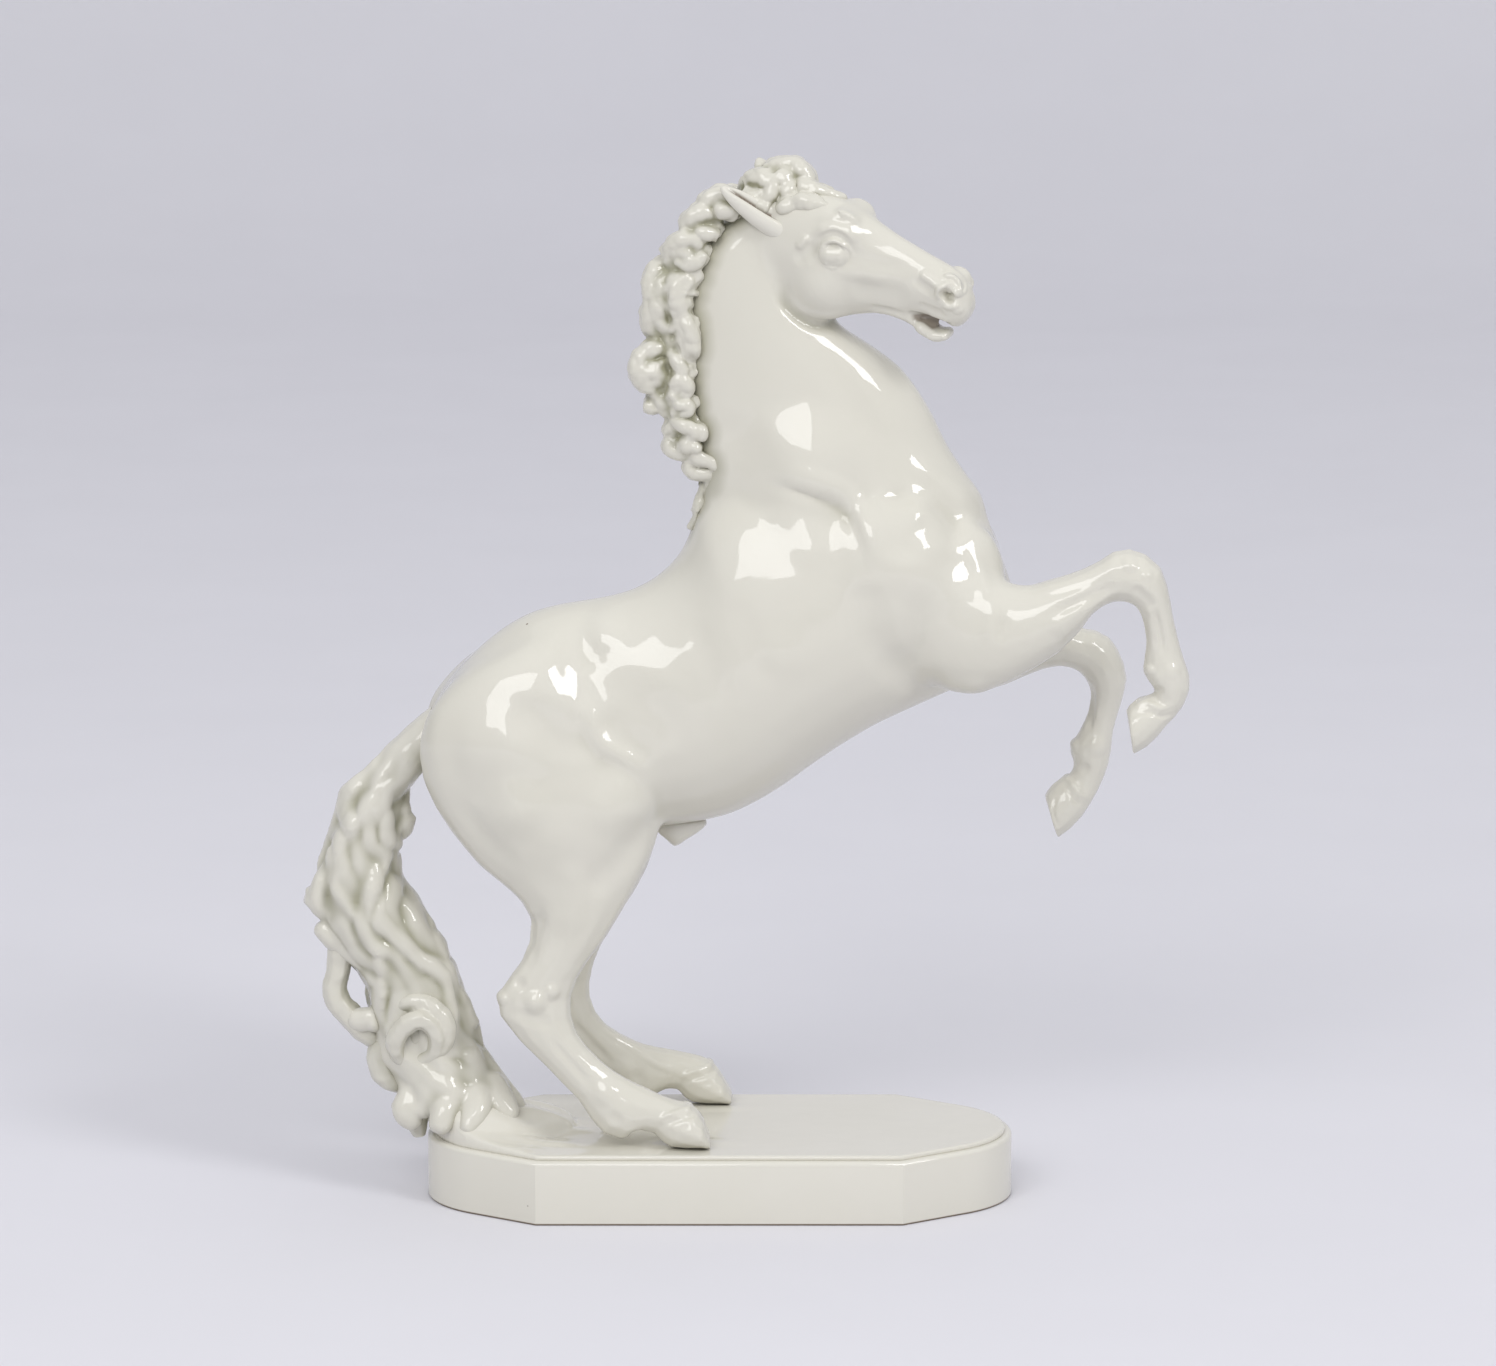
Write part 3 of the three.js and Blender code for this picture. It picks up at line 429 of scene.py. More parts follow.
def away_from_hooves(points):
    """1 on soft forms, down to 0.35 on the hooves."""
    keep = np.ones(len(points))
    for centre, reach in HOOVES:
        distance = np.linalg.norm(points - np.array(centre), axis=1)
        keep = np.minimum(keep, 0.35 + 0.65 * smoothstep(distance, 0.7 * reach, 1.15 * reach))
    return keep


def croup(points):
    """Where the thighs run into the rump, which is one round form."""
    x, y, z = points.T
    across = np.hypot((x + 84) / 34, (z - 186) / 26)
    return 1 - smoothstep(across, 0.7, 1.25)


for region, passes in ((croup, 160), (broad_forms, 90), (away_from_hooves, 6)):
    sponge(clay, passes, group=paint_group(clay, region.__name__, region(points_of(clay))))
print("body sponged:", list(clay.vertex_groups.keys()))

# %% [markdown]
# Head and lower legs carry marks finer than the voxels, so the clay is divided again there: each
# face becomes four, and a short sponging rounds what the division left flat.

# %% Divide the clay where the detail is
def refine(piece, inside, passes=3):
    """Divides the faces of a region and sponges it."""
    chosen = inside(points_of(piece))
    work = bmesh.new()
    work.from_mesh(piece.data)
    edges = [e for e in work.edges if chosen[e.verts[0].index] and chosen[e.verts[1].index]]
    bmesh.ops.subdivide_edges(work, edges=edges, cuts=1, use_grid_fill=True)
    work.to_mesh(piece.data)
    work.free()
    group = piece.vertex_groups.get("fine") or piece.vertex_groups.new(name="fine")
    group.remove(range(len(piece.data.vertices)))
    group.add(np.flatnonzero(inside(points_of(piece))).tolist(), 1.0, "REPLACE")
    sponge(piece, passes, group="fine")


def on_head(points):
    x, y, z = points.T
    return (x > 8 - 0.2 * (z - 300)) & (z > 300) & (x + 0.7 * (z - 308) > 24)


def on_lower_legs(points):
    x, y, z = points.T
    return ((z < 92) & (x < 20)) | ((x > 112) & (z < 240))


refine(clay, on_head)
refine(clay, on_lower_legs, 4)
print("divided:", len(clay.data.polygons), "faces")

# %% [markdown]
# Muscle, bone and tendon are laid on as a modeller does with a thumb: each stroke follows a line
# drawn on the side of the horse and raises or sinks the clay along its own surface. The lines are
# read off the figure as glints and shadows: a glint runs along a ridge, and a soft shadow fills a
# hollow. Each stroke is a path of (x, z) points, a radius and a height, all in millimetres.

# %% Strokes of the modeller's thumb
def smooth_path(path, count):
    """Evenly spread points on a Catmull-Rom curve through a path."""
    path = np.array(path, float)
    padded = np.vstack([2 * path[0] - path[1], path, 2 * path[-1] - path[-2]])
    t = np.linspace(0, len(path) - 1, count)
    k = np.minimum(t.astype(int), len(path) - 2)
    f = (t - k)[:, None]
    p0, p1, p2, p3 = padded[k], padded[k + 1], padded[k + 2], padded[k + 3]
    return 0.5 * (2 * p1 + (p2 - p0) * f + (2 * p0 - 5 * p1 + 4 * p2 - p3) * f ** 2
                  + (3 * p1 - p0 - 3 * p2 + p3) * f ** 3)


def distance_to_path(points, path):
    """Distance of flat points to an open path, and the share of the path that lies before them."""
    best = np.full(len(points), 1e9)
    along = np.zeros(len(points))
    if len(path) == 1:
        return np.linalg.norm(points - path[0], axis=1), along
    if len(path) > 2:
        path = smooth_path(path, 3 * len(path) - 2)
    spans = np.linalg.norm(np.diff(path, axis=0), axis=1)
    done = 0.0
    for a, b, span in zip(path[:-1], path[1:], spans):
        t = np.clip(((points - a) @ (b - a)) / (span * span), 0, 1)
        d = np.linalg.norm(points - (a + t[:, None] * (b - a)), axis=1)
        nearer = d < best
        best[nearer] = d[nearer]
        along[nearer] = (done + t[nearer] * span) / spans.sum()
        done += span
    return best, along


def stroke_height(plane_points, marks):
    """How far the strokes lift each point of a flat view; long strokes fade at their ends."""
    lift = np.zeros(len(plane_points))
    for path, radius, height, *kind in marks:
        d, along = distance_to_path(plane_points, np.array(path, float))
        profile = np.clip(1 - (d / radius) ** 2, 0, 1) ** (1 if "dome" in kind else 2)
        length = np.linalg.norm(np.diff(np.array(path), axis=0), axis=1).sum()
        if length > 4 * radius:
            ends = smoothstep(along, 0, 0.3) * smoothstep(1 - along, 0, 0.3)
            profile = profile * (0.1 + 0.9 * ends)
        lift += height * profile
    return lift


def strokes(piece, marks, half="both", both_faces=False, move=(0, 0)):
    """Lays strokes on the outer face of one half of the animal, or on both faces of a leg."""
    points, normals = points_of(piece), normals_of(piece)
    side = {"near": points[:, 1] < 0, "far": points[:, 1] > 0, "both": True}[half]
    outward = np.abs(normals[:, 1]) if both_faces else normals[:, 1] * np.sign(points[:, 1])
    lift = stroke_height(points[:, [0, 2]] - np.array(move), marks)
    lift *= smoothstep(outward, -0.1 if both_faces else 0.0, 0.35) * side
    set_points(piece, points + normals * lift[:, None])


TRUNK_STROKES = [
  ([(-43.0, 195.9)], 9, 1.6),  # point of the hip
  ([(-53.4, 191.3), (-47.9, 186.8)], 7, -0.7),  # behind it
  ([(-49.7, 183.4), (-42.3, 174.7), (-25.6, 165.2)], 17, -2.0),  # hollow of the flank
  ([(-50.1, 175.5), (-47.9, 164.5), (-43.5, 155.0), (-33.1, 149.3), (-25.7, 141.3)], 4.6,
   1.6),  # fold of the flank
  ([(-70.2, 164.5), (-53.5, 158.4)], 12, -1.5),  # hollow under the croup
  ([(-39.7, 162.2), (-29.4, 153.9)], 8, -1.0),  # hollow above the fold
  ([(-79.8, 153.1)], 21, 3.0),  # buttock
  ([(-74.1, 138.7), (-55.5, 140.6), (-38.7, 134.8)], 15, 0.8),  # thigh
  ([(-70.6, 124.2), (-59.4, 123.2), (-46.5, 126.1)], 22, 2.4),  # round of the thigh
  ([(-76.7, 131.8)], 15, 2.4),  # muscle behind the thigh
  ([(-36.5, 130.3)], 14, 2.4),  # muscle over the stifle
  ([(-29.5, 129.4)], 9, 1.2),  # stifle
  ([(-34.0, 114.9), (-44.5, 103.4)], 8, -0.9),  # behind the stifle
  ([(-98.5, 134.0), (-85.6, 118.7), (-70.7, 106.5)], 5, -0.6),  # seam of the thigh
  ([(-7.0, 195.5), (0.4, 176.6)], 7, -0.35),  # ribs
  ([(7.8, 204.9), (16.0, 184.2)], 7, -0.35),  # ribs
  ([(24.5, 189.8)], 12, 0.7),  # round of the barrel
]
SHOULDER_STROKES = [
  ([(21.9, 256.4), (35.5, 252.6), (48.5, 246.6), (55.2, 235.8), (59.7, 218.5)], 6,
   1.3),  # front edge of the shoulder blade
  ([(16.0, 252.6), (30.0, 249.3), (44.1, 243.6), (50.7, 234.6), (54.5, 223.4)], 4.2,
   -1.0),  # groove behind it
  ([(28.2, 240.3), (34.5, 230.9)], 12, 1.0),  # shoulder blade
  ([(66.4, 244.9), (69.0, 229.8)], 8, -1.0),  # hollow in front of the shoulder
  ([(76.5, 235.9), (86.5, 232.9)], 7, -1.2),  # hollow of the chest
  ([(69.0, 221.1), (80.1, 214.4)], 12, 1.0),  # arm
  ([(55.3, 209.8), (59.8, 191.0), (69.2, 179.6)], 9, -1.2),  # back of the arm
  ([(78.6, 176.5)], 9, -1.4),  # armpit
  ([(95.4, 174.6)], 7, 0.9),  # elbow
  ([(70.1, 261.9), (78.3, 254.4), (89.5, 245.8), (95.1, 236.3)], 5, 1.0),  # breast
  ([(76.5, 246.5), (87.7, 238.2), (91.5, 230.7)], 4, -0.7),  # under the breast
  ([(92.7, 228.4), (97.9, 217.1), (99.1, 206.9)], 4, 0.9),  # breast, lower
  ([(105.9, 205.0), (104.1, 194.4)], 2.4, -0.9),  # crease over the foreleg
  ([(101.8, 208.0), (100.0, 197.8)], 4, 0.6),  # beside the crease
]
NECK_STROKES = [
  ([(46.7, 303.2), (59.7, 282.7), (69.1, 267.7)], 9, 0.3),  # neck muscle
  ([(34.5, 303.5), (48.6, 283.0), (61.6, 262.3)], 7, -0.5),  # jugular groove
  ([(8.6, 268.3), (18.2, 257.8)], 12, -0.9),  # hollow before the withers
  ([(31, 258)], 27, 4.4),  # base of the neck flares to the shoulder
  ([(20.8, 324.8), (25.6, 316.2), (34.5, 309.9),
    (44.9, 308.4)], 3.4, -1.3),  # groove behind the jowl
]
for marks in (TRUNK_STROKES, SHOULDER_STROKES, NECK_STROKES):
    strokes(clay, marks)
sponge(clay, 10, group=paint_group(clay, "worked_forms", broad_forms(points_of(clay))))
print("trunk strokes:", len(TRUNK_STROKES) + len(SHOULDER_STROKES) + len(NECK_STROKES))

# %% [markdown]
# The legs are bone and tendon under thin skin: a knob where a bone ends at hock, knee and fetlock,
# a groove before each tendon, and a raised crown where the hoof begins. The hind strokes are drawn
# once on the near leg, and moved for the far one, which stands a little ahead and lower.

# %% Legs
HIND_STROKES = [
  ([(-55.8, 103.2), (-57.7, 89.7)], 10, 0.8),  # gaskin
  ([(-65.9, 93.6), (-70.2, 80.1), (-71.7, 70.5)], 4, -1.1),  # groove before the tendon
  ([(-73.8, 93.6), (-75.8, 78.2), (-79.2, 66.6)], 2.6, 0.5),  # tendon
  ([(-68.8, 56.5)], 5.5, 1.9),  # outer knob of the hock
  ([(-62.7, 60.3)], 4, 1.3),  # front knob of the hock
  ([(-74.8, 51.4), (-65.4, 48.7)], 4, -0.6),  # under the hock
  ([(-74.7, 63.0)], 3.4, -0.7),  # hollow of the hock
  ([(-82.3, 57.0)], 3.5, 0.9),  # point of the hock
  ([(-65.4, 44.2), (-55.3, 32.6), (-46.4, 22.9)], 2.6, -0.8),  # groove of the cannon
  ([(-55.3, 41.5), (-44.8, 33.8), (-29.8, 23.7), (-15.5, 18.3)], 2.4, 0.5),  # front of the cannon
  ([(-43.3, 21.8)], 6, 0.8),  # fetlock
  ([(-39.2, 12.8)], 4, -0.6),  # behind the fetlock
  ([(-24.1, 11.3), (-19.2, 14.0), (-11.0, 16.4), (-7.2, 19.1)], 1.5, 0.7),  # crown of the hoof
  ([(-22.2, 9.4), (-16.6, 12.1), (-9.1, 14.4), (-5.7, 16.7)], 1.3, -0.5),  # under the crown
]
LEFT_HIND_SHIFT = (5.9, -6.4)
LEFT_HOOF_SHIFT = (7.8, -0.2)
NEAR_FORE_STROKES = [
  ([(113.8, 212.5), (126.7, 214.8), (139.7, 219.3), (149.7, 225.3)], 3, 0.6),  # top of the forearm
  ([(121.1, 204.9), (135.9, 210.2), (148.8, 217.8)], 3.4, -0.9),  # groove of the forearm
  ([(126.7, 200.0), (141.5, 209.5)], 5, 0.6),  # forearm
  ([(152.5, 223.4)], 4, 0.8),  # knee
  ([(158.9, 218.9)], 3, 0.6),  # knee, front
  ([(155.6, 212.9), (160.1, 208.4)], 3.5, -0.7),  # below the knee
  ([(161.7, 207.4), (164.0, 197.6), (165.3, 187.7)], 1.8, -0.9),  # groove before the tendon
  ([(159.5, 205.1), (161.1, 193.8), (161.2, 188.1)], 1.5, 0.5),  # tendon
  ([(168.8, 182.8)], 4, 0.6),  # fetlock
  ([(160.2, 182.8)], 2.6, 1.0),  # ergot
  ([(163.7, 175.2)], 2.6, -0.8),  # hollow of the pastern
  ([(153.7, 168.4), (159.3, 170.3), (164.5, 168.4), (169.0, 169.9)], 1.6, 0.8),  # crown of the hoof
  ([(153.4, 165.7), (159.7, 167.2), (165.3, 165.3), (170.5, 166.8)], 1.4, -0.6),  # under the crown
]
FAR_FORE_STROKES = [
  ([(142.4, 184.9)], 5, 0.7),  # knee
  ([(141.4, 168.7), (141.9, 157.8), (140.5, 146.9)], 1.8, -0.9),  # groove before the tendon
  ([(139.2, 165.6), (139.3, 153.9), (136.3, 146.2)], 1.6, 0.5),  # tendon
  ([(144.0, 143.1)], 5, 0.9),  # fetlock
  ([(134.5, 143.1)], 3, 1.0),  # ergot
  ([(139.1, 134.5)], 3, -0.7),  # hollow of the pastern
  ([(128.9, 130.2), (133.4, 129.5), (137.3, 124.4), (141.1, 122.8)], 1.6, 0.8),  # crown of the hoof
  ([(128.9, 127.9), (132.3, 126.7), (135.4, 122.1), (139.6, 119.7)], 1.4, -0.6),  # under the crown
  ([(126.2, 126.7), (124.4, 119.7), (127.9, 110.3)], 1.4, 0.5),  # sole edge
  ([(128.9, 124.8), (127.1, 118.2), (129.4, 111.1)], 1.4, -0.7),  # beside the sole edge
]
CANNON_FOOT = 20
cannon_marks = [mark for mark in HIND_STROKES if mark[0][0][1] > CANNON_FOOT]
hoof_marks = [mark for mark in HIND_STROKES if mark[0][0][1] <= CANNON_FOOT]
for marks, half, move in ((HIND_STROKES, "near", (0, 0)), (cannon_marks, "far", LEFT_HIND_SHIFT),
                          (hoof_marks, "far", LEFT_HOOF_SHIFT), (NEAR_FORE_STROKES, "near", (0, 0)),
                          (FAR_FORE_STROKES, "far", (0, 0))):
    strokes(clay, marks, half, both_faces=True, move=move)
print("leg strokes:", len(HIND_STROKES) + len(NEAR_FORE_STROKES) + len(FAR_FORE_STROKES))

# %% [markdown]
# The head looks a little towards the viewer and leans over. Its features are easier to draw on a
# head that looks straight ahead, so its points are turned back about the poll, worked in their own
# plane, and turned again. It is a clean-cut head: brow, cheekbone and jaw stand out as edges.

# %% The head's own plane
POLL = np.array([17.0, 0.0, 340.0])
HEAD_PITCH, HEAD_TURN, HEAD_TILT = (math.radians(a) for a in (31, 18, 10))
lengthwise = Vector((math.cos(HEAD_PITCH), 0, -math.sin(HEAD_PITCH)))
turn, tilt = Matrix.Rotation(-HEAD_TURN, 3, "Z"), Matrix.Rotation(HEAD_TILT, 3, lengthwise)
HEAD_POSE = np.array(turn @ tilt)


def straightened(points):
    """Points of the turned head as they lie on a head that looks straight ahead."""
    return (points - POLL) @ HEAD_POSE + POLL


def head_strokes(piece, marks, half="both", around=False):
    """Lays strokes in the head's own plane, on its sides only or all the way round."""
    points, normals = points_of(piece), normals_of(piece)
    flat, flat_normals = straightened(points), normals @ HEAD_POSE
    on = on_head(points)
    if half != "both":
        on &= (flat[:, 1] < 0) if half == "near" else (flat[:, 1] > 0)
    lift = stroke_height(flat[:, [0, 2]], marks) * on
    if not around:
        lift *= smoothstep(flat_normals[:, 1] * np.sign(flat[:, 1]), 0.05, 0.4)
    set_points(piece, points + normals * lift[:, None])


NEAR_HEAD_STROKES = [
  ([(53, 352)], 9, -2.8),  # the near brow lies lower than the far one
  ([(93, 330)], 6.5, -2.2),  # and so does the wing of the nostril
]
LIP_STROKES = [
  ([(80, 311), (84, 309.5), (88, 309)], 3.6, 1.3),  # fuller lower lip
  ([(80, 315), (84, 314), (90, 312.8)], 2.4, -1.2),  # the lips part
]
HEAD_STROKES = [
  ([(45.2, 340.6), (49.3, 341.3), (53.4, 340)], 8, -0.9),  # socket of the eye
  ([(41.1, 345.1), (45.2, 348), (50.1, 349.2), (55.4, 347), (59.5, 343)], 3.2, 1.0),  # brow
  ([(41.1, 340.6), (37.4, 338.2)], 4.5, -0.7),  # hollow behind the eye
  ([(36.6, 342.4), (38.6, 344.4)], 2.4, 0.9),  # curl on the temple
  ([(51.1, 333.6), (57.8, 332.1), (63.7, 330.9), (71, 329.6)], 4, 0.5),  # ridge of the cheekbone
  ([(60.5, 326.3), (72, 324.4)], 6.5, -0.8),  # under the cheekbone
  ([(54.6, 340.3), (66.3, 336.5), (79, 333.2)], 3.4, -0.35),  # beside the bridge of the nose
  ([(41.8, 324.5)], 12, 1.0),  # cheek
  ([(31.2, 320.9), (36.9, 316.6), (46.9, 314.6), (54.2, 316.4)], 3, 0.5),  # rim of the cheek
  ([(59.9, 318.8), (67.4, 317.8), (75.3, 316)], 1.7, -0.7),  # groove over the jaw's edge
  ([(59.2, 316.6), (67.5, 315.4), (75, 314)], 1.7, 0.4),  # jaw's edge
]
head_strokes(clay, NEAR_HEAD_STROKES, "near")
BROW, BROW_REACH = (53, 354), 13
flat = straightened(points_of(clay))
inside = BROW_REACH - np.hypot(flat[:, 0] - BROW[0], flat[:, 2] - BROW[1])
brow = on_head(points_of(clay)) * smoothstep(inside, 0, 5)
sponge(clay, 16, group=paint_group(clay, "brow", brow))
head_strokes(clay, LIP_STROKES, around=True)
head_strokes(clay, HEAD_STROKES)
print("head strokes:", len(HEAD_STROKES))

# %% [markdown]
# Eye, lids, nostril and lips are small closed forms with crisp edges: the eyeball is a dome, the
# lids are rolls round it, and the nostril is a deep pit with a raised wing. The clay is divided
# once more there, so that the narrowest fold still spans a few faces.

# %% Eye, nostril and mouth
FEATURES = (((49.3, 341.5), 9), ((91, 324.5), 7.5))  # eye, nostril: middle and reach


def near_features(points):
    flat = straightened(points)
    distances = [np.hypot(flat[:, 0] - x, flat[:, 2] - z) < reach for (x, z), reach in FEATURES]
    return on_head(points) & np.any(distances, axis=0)


refine(clay, near_features)
FEATURE_STROKES = [
  ([(47.6, 339.2), (51.4, 339)], 4, 2.2, "dome"),  # eyeball
  ([(43, 338.8), (46, 343), (49.6, 344.8), (53.4, 343.4), (56.4, 339.2)], 1.7,
   1.5),  # upper lid
  ([(44.6, 336.6), (49.2, 334.6), (54, 336.6)], 1.3, 0.35),  # lower lid
  ([(43.5, 344.2), (46.2, 346.7), (50, 347.8), (54, 346.6), (56.6, 343.4)], 1.6,
   -0.45),  # fold over the lid
  ([(83, 332), (86, 330.3), (89.6, 327.8)], 2.2, 0.9),  # false nostril
  ([(81, 329.5), (86, 326.2)], 2.6, -0.5),  # below it
  ([(89.0, 322.6), (88.9, 326.4), (91.8, 329), (95.2, 328.4)], 2.0,
   1.2),  # wing of the nostril
  ([(89.6, 322), (93.3, 320.6), (97, 323)], 1.8, 0.7),  # lower rim of the nostril
  ([(92.0, 325.4), (92.9, 324.5)], 2.5, -3.6, "dome"),  # nostril
  ([(96.2, 326.2)], 2.2, 0.8, "dome"),  # knob beside it
  ([(95.7, 319.8)], 2.2, 0.6, "dome"),  # knob of the upper lip
  ([(82.1, 317.4), (88.8, 315.8), (93.9, 315)], 1.8, 0.6),  # edge of the upper lip
  ([(82, 320.6), (89, 318.4)], 2.0, -0.5),  # above the lip's edge
  ([(76.6, 316.6), (80.4, 315.7)], 1.5, -0.7),  # corner of the mouth
]
head_strokes(clay, FEATURE_STROKES)
sponge(clay, 1, 0.3)
print("feature strokes:", len(FEATURE_STROKES))

# %% [markdown]
# Mane, forelock and tail are rolls of wet clay, pressed on and drawn over with a brush until no
# single roll is left. A roll is a chain of round rings along a smooth path. Rolls on the near side
# are fattened inwards: their outsides stay where the curls were drawn, and the gaps fill.

# %% Roll the clay
THINNEST_ROLL = 0.35


def frame_along(points):
    """Two directions square to the curve at each point, carried along without twist."""
    tangent = np.gradient(points, axis=0)
    tangent /= np.linalg.norm(tangent, axis=1)[:, None] + 1e-9
    start = np.array([0.0, 1.0, 0.0]) if abs(tangent[0, 1]) < 0.9 else np.array([1.0, 0.0, 0.0])
    side = [np.cross(start, tangent[0])]
    for t in tangent:
        s = side[-1] - t * (side[-1] @ t)
        side.append(s / (np.linalg.norm(s) + 1e-9))
    side = np.array(side[1:])
    return side, np.cross(tangent, side)


def skin_over(work, rings):
    """Joins rings of points with faces and closes both ends."""
    for low, high in zip(rings[:-1], rings[1:]):
        for i in range(len(low)):
            j = (i + 1) % len(low)
            work.faces.new((low[i], low[j], high[j], high[i]))
    work.faces.new(rings[0][::-1])
    work.faces.new(rings[-1])


def roll(work, path, sides):
    """Adds one round roll of clay with closed ends to a bmesh; a path is (x, y, z, radius)."""
    route = smooth_path(path, 5 * (len(path) - 1) + 1)
    centres, radii = route[:, :3], np.maximum(route[:, 3], THINNEST_ROLL)
    a, b = frame_along(centres)
    angles = np.linspace(0, 2 * math.pi, sides, endpoint=False)
    rings = []
    for c, r, u, v in zip(centres, radii, a, b):
        ring = [c + r * (math.cos(t) * u + math.sin(t) * v) for t in angles]
        rings.append([work.verts.new(place(*p)) for p in ring])
    skin_over(work, rings)


def twisted(path, phase, turns=0.5, offset=0.36, girth=0.76):
    """Paths of the two rolls that twist round one path."""
    route = smooth_path(path, 3 * (len(path) - 1) + 1)
    a, b = frame_along(route[:, :3])
    t = np.linspace(0, 1, len(route))
    paths = []
    for k in (0, 1):
        angle = phase + 2 * math.pi * (k / 2 + turns * t)
        reach = (offset * route[:, 3] * smoothstep(t, -0.1, 0.15))[:, None]
        centre = route[:, :3] + reach * (np.cos(angle)[:, None] * a + np.sin(angle)[:, None] * b)
        paths.append(np.hstack([centre, girth * route[:, 3:4]]))
    return paths


def finished_mesh(name, work):
    """Turns a bmesh into an object at the origin."""
    mesh = bpy.data.meshes.new(name)
    work.to_mesh(mesh)
    work.free()
    made = bpy.data.objects.new(name, mesh)
    bpy.context.scene.collection.objects.link(made)
    return made


def rolled(name, paths, sides=10):
    """A mesh of rolls along some paths."""
    work = bmesh.new()
    for path in paths:
        roll(work, path, sides)
    bmesh.ops.recalc_face_normals(work, faces=work.faces)
    return finished_mesh(name, work)


def fattened(paths, girth=1.5):
    """Thicker rolls that lie deeper."""
    fat = []
    for path in paths:
        path = np.array(path, float)
        outside = np.where(path[:, 1] < 0, 1, -1)
        path[:, 1] += outside * (girth - 1) * path[:, 3]
        path[:, 3] *= girth
        fat.append(path)
    return fat


# %% [markdown]
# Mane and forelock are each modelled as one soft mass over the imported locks, because that is how
# the wet clay behaves: the rolls sink into each other. The mass is fused, sponged and kneaded by a
# soft random pattern, and the curls are drawn into its near side as half-round ridges.

# %% Model a mass of hair
HAIR_VOXEL, HAIR_SWELL = 0.5, 0.4


def relief(plane_points, strands):
    """Height of half-round strands that lie side by side, with a sharp valley where two meet."""
    height = np.zeros(len(plane_points))
    for path, radius in strands:
        d, along = distance_to_path(plane_points, np.array(path, float))
        reach = radius * (0.35 + 0.65 * np.sqrt(np.sin(np.pi * np.clip(along, 0.02, 0.98))))
        height = np.maximum(height, np.sqrt(np.clip(1 - (d / reach) ** 2, 0, 1)) * reach / radius)
    return height


def kneaded(piece, grain, depth):
    """Pushes the surface in and out by a soft random pattern, as fingers leave it."""
    lumps = bpy.data.textures.new("fingers", "CLOUDS")
    lumps.noise_scale = grain * MM
    lumps.noise_depth = 1
    make_active(piece)
    step = piece.modifiers.new("fingers", "DISPLACE")
    step.texture = lumps
    step.texture_coords = "LOCAL"
    step.strength = depth * MM
    step.mid_level = 0.5
    bpy.ops.object.modifier_apply(modifier=step.name)


def mass_of_hair(name, nodes, curls, plain=(), passes=18):
    """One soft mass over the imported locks, whose curls stand out by 1 mm on the near side."""
    packed = [merged_copy(node, HAIR_SWELL) for node in nodes]
    rolls = rolled(name + "_rolls", [*fattened(curls), *plain])
    made = outer_shell(fuse([*packed, rolls], name, HAIR_VOXEL))
    sponge(made, passes)
    kneaded(made, grain=5, depth=2.2)
    ridges = [(np.array(curl)[:, [0, 2]], 1.3 * max(r for *_, r in curl)) for curl in curls]
    points, normals = points_of(made), normals_of(made)
    near = smoothstep(-normals[:, 1], -0.1, 0.5)
    set_points(made, points + normals * (near * relief(points[:, [0, 2]], ridges))[:, None])
    sponge(made, 6)
    make_active(made)
    bpy.ops.object.shade_smooth()
    return made


# %% [markdown]
# The mane falls in eighteen locks from the poll to the withers. The near locks 1 to 14 are drawn
# curl by curl, each as a path of (x, y, z, radius) in millimetres. The four on the far half are
# not seen in the photo: each is a plain twist of two rolls. Fillings close the gaps between curls.

